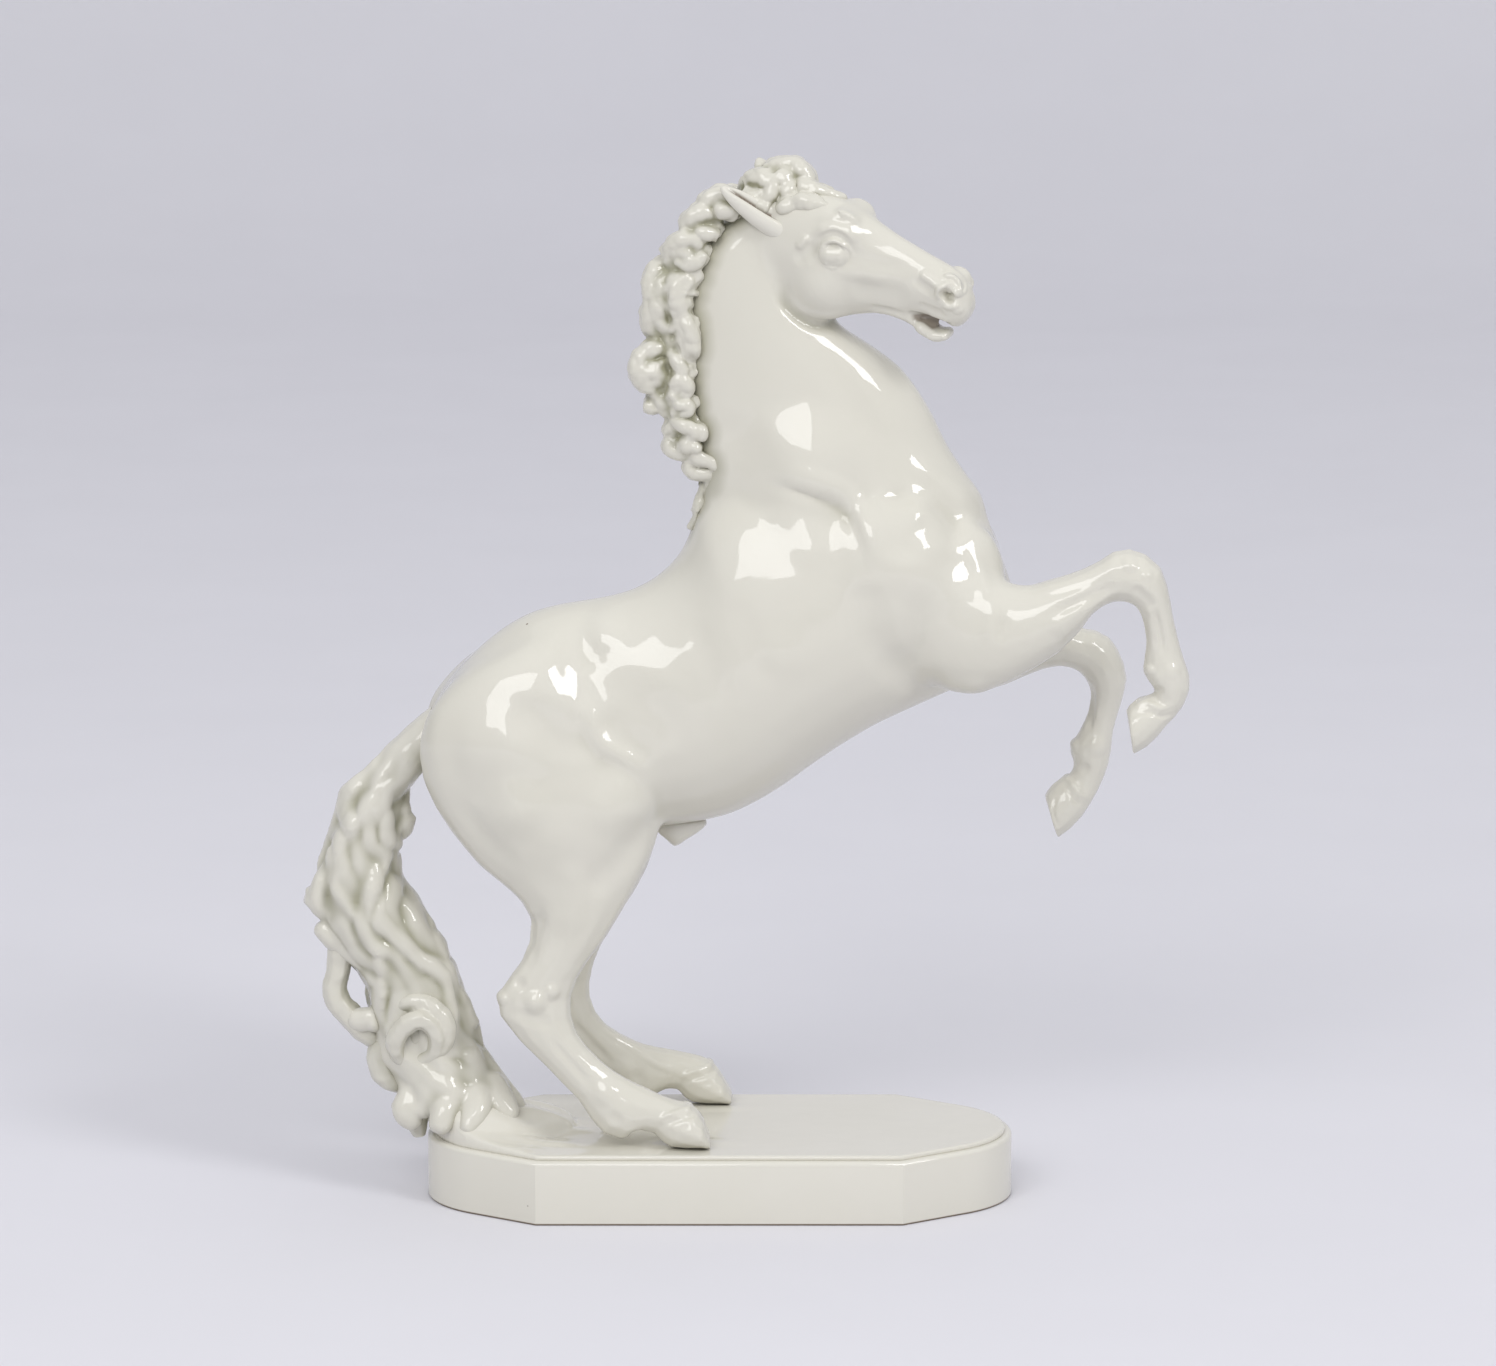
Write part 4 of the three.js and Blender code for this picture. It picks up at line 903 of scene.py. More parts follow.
# %% Curls over the mane
MANE_CURLS = {
  1: [
    [(6, -6, 355.5, 3), (0.4, -7, 356.7, 3.2), (-4, -7, 354.5, 3), (-5.5, -6, 351.4, 2)],
    [(6.7, -8, 350.5, 2.2), (2.7, -9, 352.1, 2.6), (-1.1, -9, 351, 2.4)]],
  2: [
    [(-0.7, -7, 350.4, 2.4), (-5.1, -8, 351.3, 2.8), (-9.2, -8, 349.4, 3),
     (-11.8, -7, 346.3, 2.6), (-11.5, -6, 343.5, 1.8)],
    [(-0.3, -9, 342.4, 1.8), (-4.8, -10, 343.7, 2.2), (-8.1, -9, 345, 1.8)]],
  3: [
    [(-10, -6, 337.2, 5), (-12.2, -6.5, 336.1, 5.2), (-14.5, -6, 334.6, 4)],
    [(-7, -9, 338.7, 2), (-10, -10, 341.4, 2.2), (-14, -10, 341.1, 2.4), (-17.4, -8, 338.6, 2.4),
     (-19.7, -5, 335.6, 2.2)],
    [(-5.5, -9, 335.7, 1.8), (-8.1, -10, 332.9, 2.2), (-12.2, -10, 332.1, 2.2),
     (-15.5, -9, 333.5, 1.8)]],
  4: [
    [(-19, -3, 331.9, 2.4), (-23, -4, 329.1, 3), (-24.9, -5, 324.3, 3), (-24.2, -5, 318, 3),
     (-25.3, -5, 312.4, 3.2), (-24.2, -4, 307.3, 3), (-20.1, -3, 304.6, 2)],
    [(-17.4, -5, 329.2, 1.8), (-20.8, -6.5, 324.9, 2.4), (-21.2, -7, 319.4, 2.4),
     (-22.3, -7.5, 314.6, 2.6), (-20.8, -7, 309.3, 2.2), (-16.7, -7, 307, 1.8)]],
  5: [
    [(-13, -8, 322.5, 4), (-13.3, -8, 320.6, 4)],
    [(-10.7, -8, 325.9, 2), (-13.7, -9, 326.4, 2.6), (-16.3, -9.5, 323.8, 2.8),
     (-16.7, -9.5, 320.1, 2.6), (-14.1, -9, 317.4, 2.6), (-10.4, -9, 318.5, 2)]],
  6: [
    [(-14.5, -8, 316.5, 1.6), (-13, -10, 312.7, 2.2), (-10.4, -11, 306.8, 2.2),
     (-8.9, -10.5, 301.1, 1.8), (-8.9, -10, 296.9, 1)],
    [(-19.4, -5, 305.6, 1.8), (-16.3, -8, 309, 2.2), (-13, -10, 308.6, 2),
     (-11.1, -10, 303.7, 1.8), (-11.5, -9, 298.3, 1.2)]],
  7: [
    [(-25.7, -6, 294.1, 5), (-25.7, -6.5, 291.9, 5.2), (-25, -6, 289.2, 5)],
    [(-19, -5, 299.2, 2.6), (-23.5, -6, 300.1, 3), (-27.5, -7, 297.6, 3),
     (-29.4, -7.5, 293.6, 3.2), (-28.3, -7.5, 288.7, 3.2), (-25, -7.5, 286.8, 3),
     (-22, -8, 289.5, 2.6), (-22.3, -8.5, 293, 2)],
    [(-23.9, -5, 284.9, 3.2), (-21.6, -6, 281.3, 3), (-19, -6, 276.8, 2.6),
     (-17.6, -6, 274.1, 1.6)]],
  8: [
    [(-22, -5, 280.4, 2.4), (-25, -5, 278.1, 2.2), (-28, -5, 278.5, 2)]],
  9: [
    [(-17.5, -8, 298.9, 1.6), (-15.6, -10, 295.4, 2.2), (-13.7, -10.5, 292.5, 2),
     (-14.5, -10, 289.4, 1.6)],
    [(-17.9, -8, 287.6, 2), (-14.5, -10, 289, 2.1), (-11.9, -11, 287.3, 1.9),
     (-11.5, -11, 284.3, 1.5), (-13.8, -10.5, 282.7, 0.8)],
    [(-17.5, -8, 282.3, 1.8), (-14.9, -10, 279.6, 2), (-11.9, -11, 279.4, 1.8),
     (-10.8, -11, 277.2, 1.4), (-13.4, -10.5, 275.6, 0.8)]],
  10: [
    [(-17.5, -7, 273.5, 2), (-13.8, -10, 271.7, 2.2), (-10.1, -11, 270.4, 1.8),
     (-9.3, -11, 267.7, 1.4), (-12.7, -10, 266.5, 0.9)]],
  11: [
    [(-16.5, -6, 267, 2.2), (-18.3, -6, 263.2, 2.4), (-15.7, -7, 260.7, 2),
     (-11.2, -8, 259.7, 1.4)],
    [(-8.2, -10, 271.7, 1.4), (-6, -11, 269.2, 1.6), (-6.3, -11, 265.9, 1.2)]],
  12: [
    [(-13.1, -7, 267.1, 3.4), (-10.8, -7.5, 263.4, 3.4), (-9.4, -8, 260.5, 3)],
    [(-14.6, -8, 264.2, 2), (-10.8, -10, 263.8, 2.2), (-6.7, -11, 262.1, 1.6)]],
  13: [
    [(-10.5, -8, 260.1, 1.8), (-7.1, -10, 258.9, 2), (-3, -10.5, 257.5, 1.4),
     (-1.1, -11, 254.9, 0.8)],
    [(-11.6, -6, 257.5, 2.2), (-10.1, -7, 254.3, 2.4), (-6.4, -8, 252.9, 1.8),
     (-2.3, -9, 253.5, 1.2)]],
  14: [
    [(-2.6, -7, 253.5, 1.2), (-3.4, -6, 249.6, 1.4), (-4.5, -5, 244.5, 1.2)],
    [(-0.4, -9, 254.6, 1), (-0.4, -8, 250.6, 1.2), (-1.2, -7, 246.7, 1)],
    [(-9.4, -3, 239.6, 1.2), (-7.2, -3.5, 236.2, 1.4), (-8.3, -3, 230.5, 1)],
    [(-2.7, -7, 238, 0.9), (-2.3, -7, 235.3, 1), (-2.7, -6.5, 233, 0.8)]],
}
MANE_FILLING = [
  [(-22.7, -6, 295.6, 4), (-21.6, -6, 291.1, 4)],
  [(-27.6, -4, 296.1, 4.4), (-26.5, -5, 293.2, 5.6), (-25.4, -4, 289.7, 4.6)],
  [(-17.4, -5, 332.2, 3.2), (-14.5, -6, 328.6, 3.4)],
  [(-19, -5, 306.7, 3), (-16.8, -6, 301.2, 3.4), (-15.7, -6, 294.8, 3.2), (-16, -6, 288.8, 3)],
  [(-23.8, -4, 317.8, 3.2), (-23.1, -4, 311.1, 3.2), (-21.2, -4, 305.1, 3)],
  [(-15.3, -5, 280.4, 3), (-13.5, -6, 273, 3), (-12.4, -6, 265.4, 3)],
]
FAR_LOCKS = {
  15: [(-3, 4, 338, 3.5), (-10, 7, 336, 4.6), (-14, 7, 329, 4.2), (-12, 6, 323, 2.4)],
  16: [(-7, 6, 320, 3), (-13, 8, 316, 4.8), (-14, 8, 308, 4.4), (-11, 7, 302, 2.4)],
  17: [(-8, 6, 297, 3), (-14, 8, 293, 4.6), (-15, 8, 286, 4.4), (-11, 7, 280, 2.4)],
  18: [(-5, 4, 276, 3), (-11, 6, 273, 4.2), (-13, 6, 266, 3.6), (-9, 5, 260, 2.2)],
}


def heart(paths):
    """The middle of a lock's rolls."""
    return np.array(sum(paths, []))[:, :3].mean(0)


mane_locks = {**MANE_CURLS, **{number: [path] for number, path in FAR_LOCKS.items()}}
mane_hearts = {f"mane_lock_{number}": heart(paths) for number, paths in mane_locks.items()}
mane_curls = sum(MANE_CURLS.values(), [])
plain_rolls = [*MANE_FILLING]
for number, path in FAR_LOCKS.items():
    plain_rolls += twisted(path, phase=1.3 * number)
hair = {"mane": mass_of_hair("mane", mane_hearts, mane_curls, plain_rolls)}
print("mane", len(hair["mane"].data.polygons), "faces for", len(mane_hearts), "locks")

# %% [markdown]
# The forelock is swept back between the ears in four parts: a roll over the brow, a curl behind
# it, a wisp that stands up at the poll, and a strand that runs down the forehead.

# %% Forelock
FORELOCK = {
  "forelock_roll": [
    [(16.7, -2, 362.4, 2.6), (19.7, -3, 365.5, 2.8), (24.1, -4, 367.5, 3), (28.6, -5, 367.3, 3),
     (31.5, -6.5, 364.8, 3.2), (32.3, -8, 360.9, 3), (29.7, -9.5, 357, 2.6),
     (26.7, -11, 354.2, 1.8)],
    [(21.9, -7, 365.3, 2), (24.9, -8.5, 362.1, 2.6), (26, -10.5, 357.5, 2.6),
     (23.7, -12, 353.6, 2)],
    [(21.2, -13, 352.2, 1.4), (24.8, -14, 353.9, 2.2), (29.3, -14, 355, 2.2), (33, -14, 354.6, 1)]],
  "forelock_curl": [
    [(10.8, -4, 360.8, 2.4), (14.1, -6, 363.3, 2.8), (18.2, -8, 362.8, 2.8),
     (19.7, -9, 359.6, 2.6), (17.5, -9.5, 356.6, 2.4), (13.8, -9, 357, 1.8)],
    [(9.3, -6, 358.5, 2), (11.9, -8, 356.8, 2.2), (15.2, -10, 354.1, 2.2), (18.9, -12, 352.5, 1.6)],
    [(14.5, -5, 359.8, 3.4), (16.4, -6, 359.2, 3.4)]],
  "forelock_wisp": [
    [(14.1, 3, 369.7, 0.6), (16, 2, 366.8, 1.6), (19.7, 1, 365.8, 2.4), (24.2, 0, 366.7, 2.2)],
    [(18.2, -2, 367.7, 1.6), (21.6, -2, 368.8, 1.6), (24.5, -3, 368.9, 1.2)]],
  "forelock_strand": [
    [(30, -10, 359.7, 2.4), (34.5, -11, 359.4, 2.4), (38.9, -11, 358.3, 2.1),
     (43.4, -11, 357.2, 1.6), (47.1, -11, 356.5, 1)],
    [(27.1, -14, 355, 2.2), (31.1, -15, 355.8, 2.4), (35.5, -16, 355.2, 2),
     (40.3, -17, 354.2, 1.2)]],
}
forelock_hearts = {name: heart(paths) for name, paths in FORELOCK.items()}
hair["forelock"] = mass_of_hair("forelock", FORELOCK, sum(FORELOCK.values(), []), passes=14)
print("forelock", len(hair["forelock"].data.polygons), "faces for", len(FORELOCK), "locks")

# %% [markdown]
# The tail carries the weight of the rearing horse: a thick wavy mass from the dock to the ground.
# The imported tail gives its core, rolls spread its foot, and knobs stand out along its outline.
# Strands that lie side by side and wave along it are raised from the surface, each 8.5 mm wide as
# on the figure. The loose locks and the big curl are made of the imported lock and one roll.

# %% Tail
TAIL_FOOT = [
  [(-110.5, -11, 31, 4), (-108.5, -12, 24, 5), (-110, -13, 15, 5), (-114, -13, 8, 3.6)],
  [(-116.8, -9, 18, 3.6), (-119, -11, 11, 4.4), (-118, -12, 6, 4), (-115.6, -12, 3, 3)],
  [(-104, -9, 30, 5), (-101.5, -11, 19, 6), (-101, -12, 8, 6)],
  [(-97, -7, 30, 5), (-93.5, -9, 20, 6), (-89, -10, 9, 6), (-84, -11, 3, 4)],
  [(-93, -2, 28, 4), (-87, -3, 18, 5), (-81, -4, 9, 5), (-75, -5, 3, 3)],
  [(-96, 10, 26, 4.6), (-92, 13, 15, 5), (-87, 16, 6, 4)],
]
TAIL_KNOBS = [
  [(-120.1, -1, 123.8, 2.6), (-119.4, -1, 118.4, 3), (-120.9, -1, 113, 2.4)],
  [(-109.2, -1, 74.1, 2.6), (-106.9, -1, 69.4, 3.2)],
  [(-103.2, -1, 58.5, 3), (-101, -1, 52.2, 3.4)],
  [(-97.6, -2, 45.4, 3), (-95.4, -2, 39.2, 3.4)],
  [(-88.2, -5, 21.1, 3.4), (-87.8, -6, 15.9, 3.2)],
  [(-152.9, -2, 93, 3.4), (-153.4, -2, 86.8, 4)],
  [(-150.4, -2, 79, 3.4), (-146.3, -3, 74.6, 3.6), (-142.5, -3, 71.5, 4), (-139.4, -4, 68.6, 4)],
  [(-140.1, -5, 70.4, 4), (-136.4, -5, 67.3, 4.2), (-131.8, -6, 65.2, 4.2), (-128.8, -7, 58.4, 4)],
  [(-139.7, -4, 42.8, 3.4), (-135.1, -5, 42.3, 4), (-130.4, -7, 43.6, 4.4)],
]
TAIL_ROUTE = [(-115, 167), (-128, 154), (-139, 133), (-142, 110), (-136, 84), (-124, 61),
              (-112, 38), (-99, 16)]
STRAND_WIDTH, STRAND_HEIGHT = 8.5, 2.1
DOCK_END, FOOT_TOP = 144, 30


def waves(flat, phase):
    """Height of half-round strands, side by side, that wave along the tail."""
    route = smooth_path(TAIL_ROUTE, 60)
    nearest = np.linalg.norm(flat[:, None] - route[None], axis=2).argmin(1)
    heading = np.gradient(route, axis=0)
    heading /= np.linalg.norm(heading, axis=1)[:, None]
    aside = flat - route[nearest]
    across = aside[:, 0] * heading[nearest, 1] - aside[:, 1] * heading[nearest, 0]
    along = np.cumsum(np.linalg.norm(np.diff(route, axis=0, prepend=route[:1]), axis=1))[nearest]
    along = along + (aside * heading[nearest]).sum(1)
    swing = 0.5 * np.sin(along / 8 + 0.05 * across + phase)
    swing = swing + 0.15 * np.sin(along / 4.3 - 0.2 * across)
    number, share = np.divmod(across / STRAND_WIDTH + swing, 1)
    swell = 0.75 + 0.25 * np.sin(along / 5 + 2.1 * number)
    return STRAND_HEIGHT * swell * np.sqrt(np.clip(1 - (2 * share - 1) ** 2, 0, 1))


tail_parts = [merged_copy("tail", 0.2), rolled("tail_foot", TAIL_FOOT, 12),
              rolled("tail_knobs", TAIL_KNOBS, 12)]
tail = hair["tail"] = fuse(tail_parts, "tail_glazed", voxel=0.8)
sponge(tail, 18)
points, normals = points_of(tail), normals_of(tail)
for half in (-1, 1):
    on_half = smoothstep(half * points[:, 1], -2, 1.5) * smoothstep(DOCK_END - points[:, 2], 0, 16)
    points = points + normals * (on_half * waves(points[:, [0, 2]], 1.3 * half))[:, None]
set_points(tail, points)
kneaded(tail, grain=11, depth=1.5)
sponge(tail, 9)
foot = paint_group(tail, "foot", smoothstep(FOOT_TOP - points_of(tail)[:, 2], 0, 10))
sponge(tail, 50, group=foot)
bpy.ops.object.shade_smooth()
CURL_HEART = [(-119.8, -8, 39.1, 5), (-115.2, -9, 39.4, 6.5), (-113.3, -9, 36.2, 6.5)]
TAIL_LOCKS = {
  "tail_side_lock": [
    (-144, -1, 76, 4.5), (-144, -2, 68, 4.8), (-145, -2, 60, 4.7), (-146.3, -2, 54, 4.5),
    (-144.6, -2, 48, 4.8), (-140.3, -2, 43, 5.2), (-135, -2, 37.5, 5), (-129, -1, 33, 3.6)],
  "tail_hook_curl": [
    (-123, -10, 46.6, 2.8), (-117.2, -12.5, 50.8, 3.6), (-109.6, -14, 50, 4),
    (-103.9, -14.5, 43.9, 4.2), (-104.8, -14, 35.9, 4.2), (-110.5, -13, 30.2, 3.8),
    (-117.5, -11.5, 28.3, 3)],
  "tail_tuft_upper": [
    (-121, -2, 36.5, 5), (-129, -3, 29, 5.1), (-127.5, -4, 20.5, 4.8), (-120.5, -4, 15, 2.6)],
  "tail_tuft_lower": [
    (-104, -5, 20, 6), (-112, -6, 14, 6.4), (-115.5, -6, 5, 4.6), (-114.5, -6, -3, 2.4)],
}
for name, path in TAIL_LOCKS.items():
    paths = [path, CURL_HEART] if name == "tail_hook_curl" else [path]
    parts = [merged_copy(name, 0.3), rolled(name + "_rolls", paths)]
    hair[name] = fuse(parts, name + "_glazed", voxel=0.6)
    sponge(hair[name], 8)
    bpy.ops.object.shade_smooth()
    kneaded(hair[name], grain=7, depth=1.4)
    sponge(hair[name], 6)
print("tail", len(hair["tail"].data.polygons), "faces and", len(TAIL_LOCKS), "locks")

# %% [markdown]
# The ears are leaves of clay rolled round a modelling stick and laid back along the poll, open
# upwards in a long slit. Each is a roll of ellipses whose rings are dented along the upper edge.
# The root is wider than the imported ear, so that it grows out of the head as the real one does. An
# iron-brown line has run together along the bottom of the slit, and it is painted darker there as
# the shade deep in the slit as well.

# %% Ears
EAR_RINGS = [  # share of the length, width, thickness, dent of the slit
  (-0.18, 9, 7, 0), (-0.04, 10.4, 8, 0.4), (0.1, 10.8, 8.4, 2.6), (0.28, 10.6, 8.2, 4),
  (0.46, 9.8, 7.4, 4.2), (0.62, 8.6, 6.4, 3.6), (0.77, 7, 5.2, 2.6), (0.89, 5, 3.9, 1.2),
  (0.98, 3, 2.6, 0), (1.02, 1, 1, 0),
]
EARS = {  # root, tilt in degrees, side that the slit leans to
  "right_ear": ((23.5, -12.2, 345.5), 146, -1),
  "left_ear": ((27, 8.8, 346), 151, 1),
}
EAR_LENGTH, EAR_POINTS, EAR_VOXEL = 27, 40, 0.4
SLIT_LEAN, SLIT_WIDTH = 38, 0.55  # degrees off the top, radians


def ear(name, root, tilt, lean):
    """An ear of voxel-fused rings, with the brown line along its slit marked, partly the paste's
    colour and partly painted shade.
    """
    slit = math.radians(90 - SLIT_LEAN * lean)
    axis = np.array([math.cos(math.radians(tilt)), 0, math.sin(math.radians(tilt))])
    upper = np.array([axis[2], 0, -axis[0]])
    work = bmesh.new()
    rings = []
    for share, width, thick, dent in EAR_RINGS:
        centre = np.array(root) + EAR_LENGTH * share * axis
        ring = []
        for angle in np.linspace(0, 2 * math.pi, EAR_POINTS, endpoint=False):
            from_slit = abs((angle - slit + math.pi) % (2 * math.pi) - math.pi)
            shrink = 1 - dent / (width / 2) * math.exp(-(from_slit / SLIT_WIDTH) ** 2)
            across = thick / 2 * math.cos(angle) * shrink
            along = width / 2 * math.sin(angle) * shrink
            spot = centre + along * upper + across * np.array([0, 1, 0])
            ring.append(work.verts.new(place(*spot)))
        rings.append(ring)
    skin_over(work, rings)
    bmesh.ops.recalc_face_normals(work, faces=work.faces)
    made = fuse([finished_mesh(name + "_glazed", work)], name + "_glazed", EAR_VOXEL)
    sponge(made, 2)
    bpy.ops.object.shade_smooth()
    points = points_of(made) - np.array(root)
    share, side, deep = points @ axis / EAR_LENGTH, points @ upper, points[:, 1]
    off = np.abs(side * math.cos(slit) - deep * math.sin(slit))
    facing = side * math.sin(slit) + deep * math.cos(slit) > 0
    on_length = smoothstep(share, -0.05, 0.15) * smoothstep(0.95 - share, 0, 0.2)
    # partly the paste's brown and partly painted shade deep in the slit
    keep_value(made, "iron_and_shade", facing * smoothstep(1.2 - off, 0, 0.9) * on_length)
    return made


ears = {name: ear(name, *settings) for name, settings in EARS.items()}
print("ears", [len(e.data.polygons) for e in ears.values()])

# %% [markdown]
# The small swelling under the belly is one soft lump of clay, narrower and a little further back
# at its lower end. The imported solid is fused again, tapered and sponged until its facets are gone.

# %% Sheath
sheath = fuse([merged_copy("sheath", 0.9)], "sheath_glazed", voxel=0.6)
sponge(sheath, 10)
points = points_of(sheath)
middle, low, high = points[:, 0].mean(), points[:, 2].min(), points[:, 2].max()
rise = (points[:, 2] - low) / (high - low)
taper = 0.45 + 0.75 * smoothstep(rise, 0, 0.8)
points[:, 0] = middle + (points[:, 0] - middle) * taper - 2.5 * (1 - rise)
set_points(sheath, points)
sponge(sheath, 24)
bpy.ops.object.shade_smooth()
print("sheath", len(sheath.data.polygons))

# %% [markdown]
# The plinth is slip-cast in a plaster mould: a straight front with two corners, flanks that run
# tangent into round ends, and a hollow underside. It starts as a circle of points that are moved
# onto this plan, is extruded to its height, and gets its glaze-rounded upper edge with a bevel.

# %% Plan of the plinth
PLINTH_HEIGHT = (plinth_high[2] - plinth_low[2]) / MM
HALF_DEPTH = (plinth_high[1] - plinth_low[1]) / 2 / MM
END_RADIUS = 39
HALF_FLAT = 69
END_CENTRE = (plinth_high[0] - plinth_low[0]) / 2 / MM - END_RADIUS
ARC_STEPS = 48


def plan(inset):
    """Outline of the plinth, counter-clockwise, as (x, y) in millimetres."""
    dx = HALF_FLAT - END_CENTRE
    start = math.atan2(-HALF_DEPTH, dx) + math.acos(END_RADIUS / math.hypot(dx, HALF_DEPTH))
    corner_x = HALF_FLAT - inset * math.cos(start) / (1 - math.sin(start))
    corner_y = HALF_DEPTH - inset
    angles = np.linspace(start, -start, ARC_STEPS + 1)
    radius = END_RADIUS - inset
    arc = [(END_CENTRE + radius * math.cos(a), radius * math.sin(a)) for a in angles]
    half = [(corner_x, -corner_y), *arc, (corner_x, corner_y)]
    return half + [(-x, -y) for x, y in half]


def select_rim(piece, level):
    """In edit mode, selects the outer edges at one height."""
    bpy.ops.mesh.select_mode(type="EDGE")
    bpy.ops.mesh.select_all(action="DESELECT")
    sheet = bmesh.from_edit_mesh(piece.data)
    height = place(0, 0, level).z
    for edge in sheet.edges:
        flat = all(abs(v.co.z - height) < 1e-6 for v in edge.verts)
        edge.select = flat and any(abs(f.normal.z) < 0.5 for f in edge.link_faces)
    bmesh.update_edit_mesh(piece.data)


def slab(name, inset, low, high, top_round=0, foot_round=0):
    """A slab on the plinth's plan, modelled from a circle by extruding and bevelling."""
    outline = plan(inset)
    deselect()
    bpy.ops.mesh.primitive_circle_add(vertices=len(outline), radius=0.1, fill_type="NGON")
    made = bpy.context.object
    made.name = made.data.name = name
    for vertex, (x, y) in zip(made.data.vertices, outline):
        vertex.co = place(x, y, low)
    bpy.ops.object.transform_apply()
    bpy.ops.object.mode_set(mode="EDIT")
    bpy.ops.mesh.select_all(action="SELECT")
    extrude(0, (high - low) * MM)
    for level, size in ((high, top_round), (low, foot_round)):
        if size:
            select_rim(made, level)
            bpy.ops.mesh.bevel(offset=size * MM, segments=5)
    bpy.ops.mesh.select_all(action="SELECT")
    bpy.ops.mesh.normals_make_consistent(inside=False)
    bpy.ops.object.mode_set(mode="OBJECT")
    return made


print("plan:", len(plan(0)), "points")

# %% [markdown]
# The plinth stands on a narrow bare foot: its underside is inset by the wall's thickness and
# pushed up to leave the roof. Glaze draws back from an edge and rounds it by about 1.5 mm.

# %% Plinth
TABLE = -GROUND_TOP / MM
PLINTH_TOP = TABLE + PLINTH_HEIGHT
PLINTH_WALL, PLINTH_ROOF = 6, 5
plinth = slab("plinth_glazed", 0, TABLE, PLINTH_TOP, top_round=1.6, foot_round=0.6)
bpy.ops.object.mode_set(mode="EDIT")
bpy.ops.mesh.select_mode(type="FACE")
bpy.ops.mesh.select_all(action="DESELECT")
under = bmesh.from_edit_mesh(plinth.data)
foot = max((f for f in under.faces if f.normal.z < -0.9), key=lambda f: f.calc_area())
foot.select = True
bmesh.update_edit_mesh(plinth.data)
bpy.ops.mesh.inset(thickness=PLINTH_WALL * MM)
extrude(0, (PLINTH_HEIGHT - PLINTH_ROOF) * MM)
bpy.ops.object.mode_set(mode="OBJECT")
bpy.ops.object.shade_smooth_by_angle(angle=math.radians(32))
print("plinth", len(plinth.data.polygons), [round(v * 1000, 1) for v in plinth.dimensions])

# %% [markdown]
# The ground is a thin slab on the plinth that swells to a mound where tail and hooves press into
# it. The slab gets an even skin of small faces first, and the mound and the soft folds round the
# tail are then raised in it from above.

# %% Ground
GROUND_INSET = 2.6
ground = slab("ground_glazed", GROUND_INSET, PLINTH_TOP - 0.2, 0)
ground = fuse([ground], "ground_glazed", voxel=0.9)
sponge(ground, 3)
points = points_of(ground)
inside = np.clip(1 - ((points[:, 0] + 90) / 35) ** 2 - (points[:, 1] / 25) ** 2, 0, 1)
mound = 9 * np.sqrt(inside)
mound += 7 * np.exp(-((points[:, 0] + 94) / 16) ** 2 - ((points[:, 1] + 18) / 12) ** 2)
mound *= smoothstep(points[:, 2], -1.4, -0.2)
points[:, 2] += mound
set_points(ground, points)
sponge(ground, 6, group=paint_group(ground, "mound", (mound > 0.02).astype(float)))
GROUND_FOLDS = [
  ([(-86, -20), (-68, -27), (-52, -30)], 6, 0.9),
  ([(-84, -12), (-66, -17), (-50, -20)], 5, -0.6),
  ([(-82, -5), (-64, -8), (-46, -10)], 6, 0.8),
  ([(-84, 8), (-66, 6), (-50, 5)], 6, 0.7),
  ([(-96, -30), (-84, -36), (-66, -38)], 6, 0.8),
  ([(-30, -24), (-12, -24), (6, -27)], 7, 0.6),
  ([(-28, 24), (-8, 24), (12, 26)], 7, 0.5),
]
points, normals = points_of(ground), normals_of(ground)
lift = stroke_height(points[:, :2], GROUND_FOLDS) * smoothstep(normals[:, 2], 0.3, 0.8)
set_points(ground, points + np.outer(lift, (0, 0, 1)))
sponge(ground, 2)
bpy.ops.object.shade_smooth()
print("ground", len(ground.data.polygons))

# %% [markdown]
# Glaze melts and runs off the ridges into the hollows, where it lies thick and shows its own
# greyish green, while it stays thin and white on the ridges. The same darkening of the hollows is
# also painted shade. So every point is told how deep in a hollow it lies: the surface round it is
# averaged, and where that average stands in front of the point's own tangent plane, other clay
# rises round it. One average over a few millimetres finds the grooves between strands, and a wide
# one finds the shade behind the mane.

# %% Measure the hollows
GRID_STEP, GRID_MARGIN = 1.8, 16
modelled = {"body": clay, **hair, **ears, "sheath": sheath, "ground": ground}


def faces_of(piece):
    """Centres in millimetres and areas of a piece's faces."""
    faces = piece.data.polygons
    return (values_of(faces, "center") - ORIGIN) / MM, values_of(faces, "area", 1)[:, 0]


def blurred(field, reach):
    """A three-dimensional field, averaged over boxes three times, which is nearly a Gaussian."""
    for _ in range(3):
        for axis in range(3):
            total = np.cumsum(field, axis=axis)
            length = total.shape[axis]
            ahead = [np.take(total, range(reach, length), axis),
                     np.repeat(np.take(total, [-1], axis), reach, axis)]
            behind = [np.zeros_like(np.take(total, range(reach + 1), axis)),
                      np.take(total, range(length - reach - 1), axis)]
            difference = np.concatenate(ahead, axis) - np.concatenate(behind, axis)
            field = difference / (2 * reach + 1)
    return field


sampled = [faces_of(piece) for piece in modelled.values()]
centres = np.concatenate([c for c, _ in sampled])
areas = np.concatenate([a for _, a in sampled])
grid_low = centres.min(0) - GRID_MARGIN
grid_shape = tuple(((centres.max(0) + GRID_MARGIN - grid_low) / GRID_STEP).astype(int) + 1)
cells = np.ravel_multi_index((((centres - grid_low) / GRID_STEP).astype(int)).T, grid_shape)


def gathered(values, reach):
    """The sum of some values of the faces in each cell, blurred."""
    total = np.bincount(cells, values, np.prod(grid_shape)).reshape(grid_shape)
    return blurred(total, reach).ravel()


averages = {}
for reach in (1, 3):
    weight = np.maximum(gathered(areas, reach), 1e-12)
    averages[reach] = np.stack([gathered(areas * centres[:, k], reach) / weight for k in range(3)],
                               axis=1)


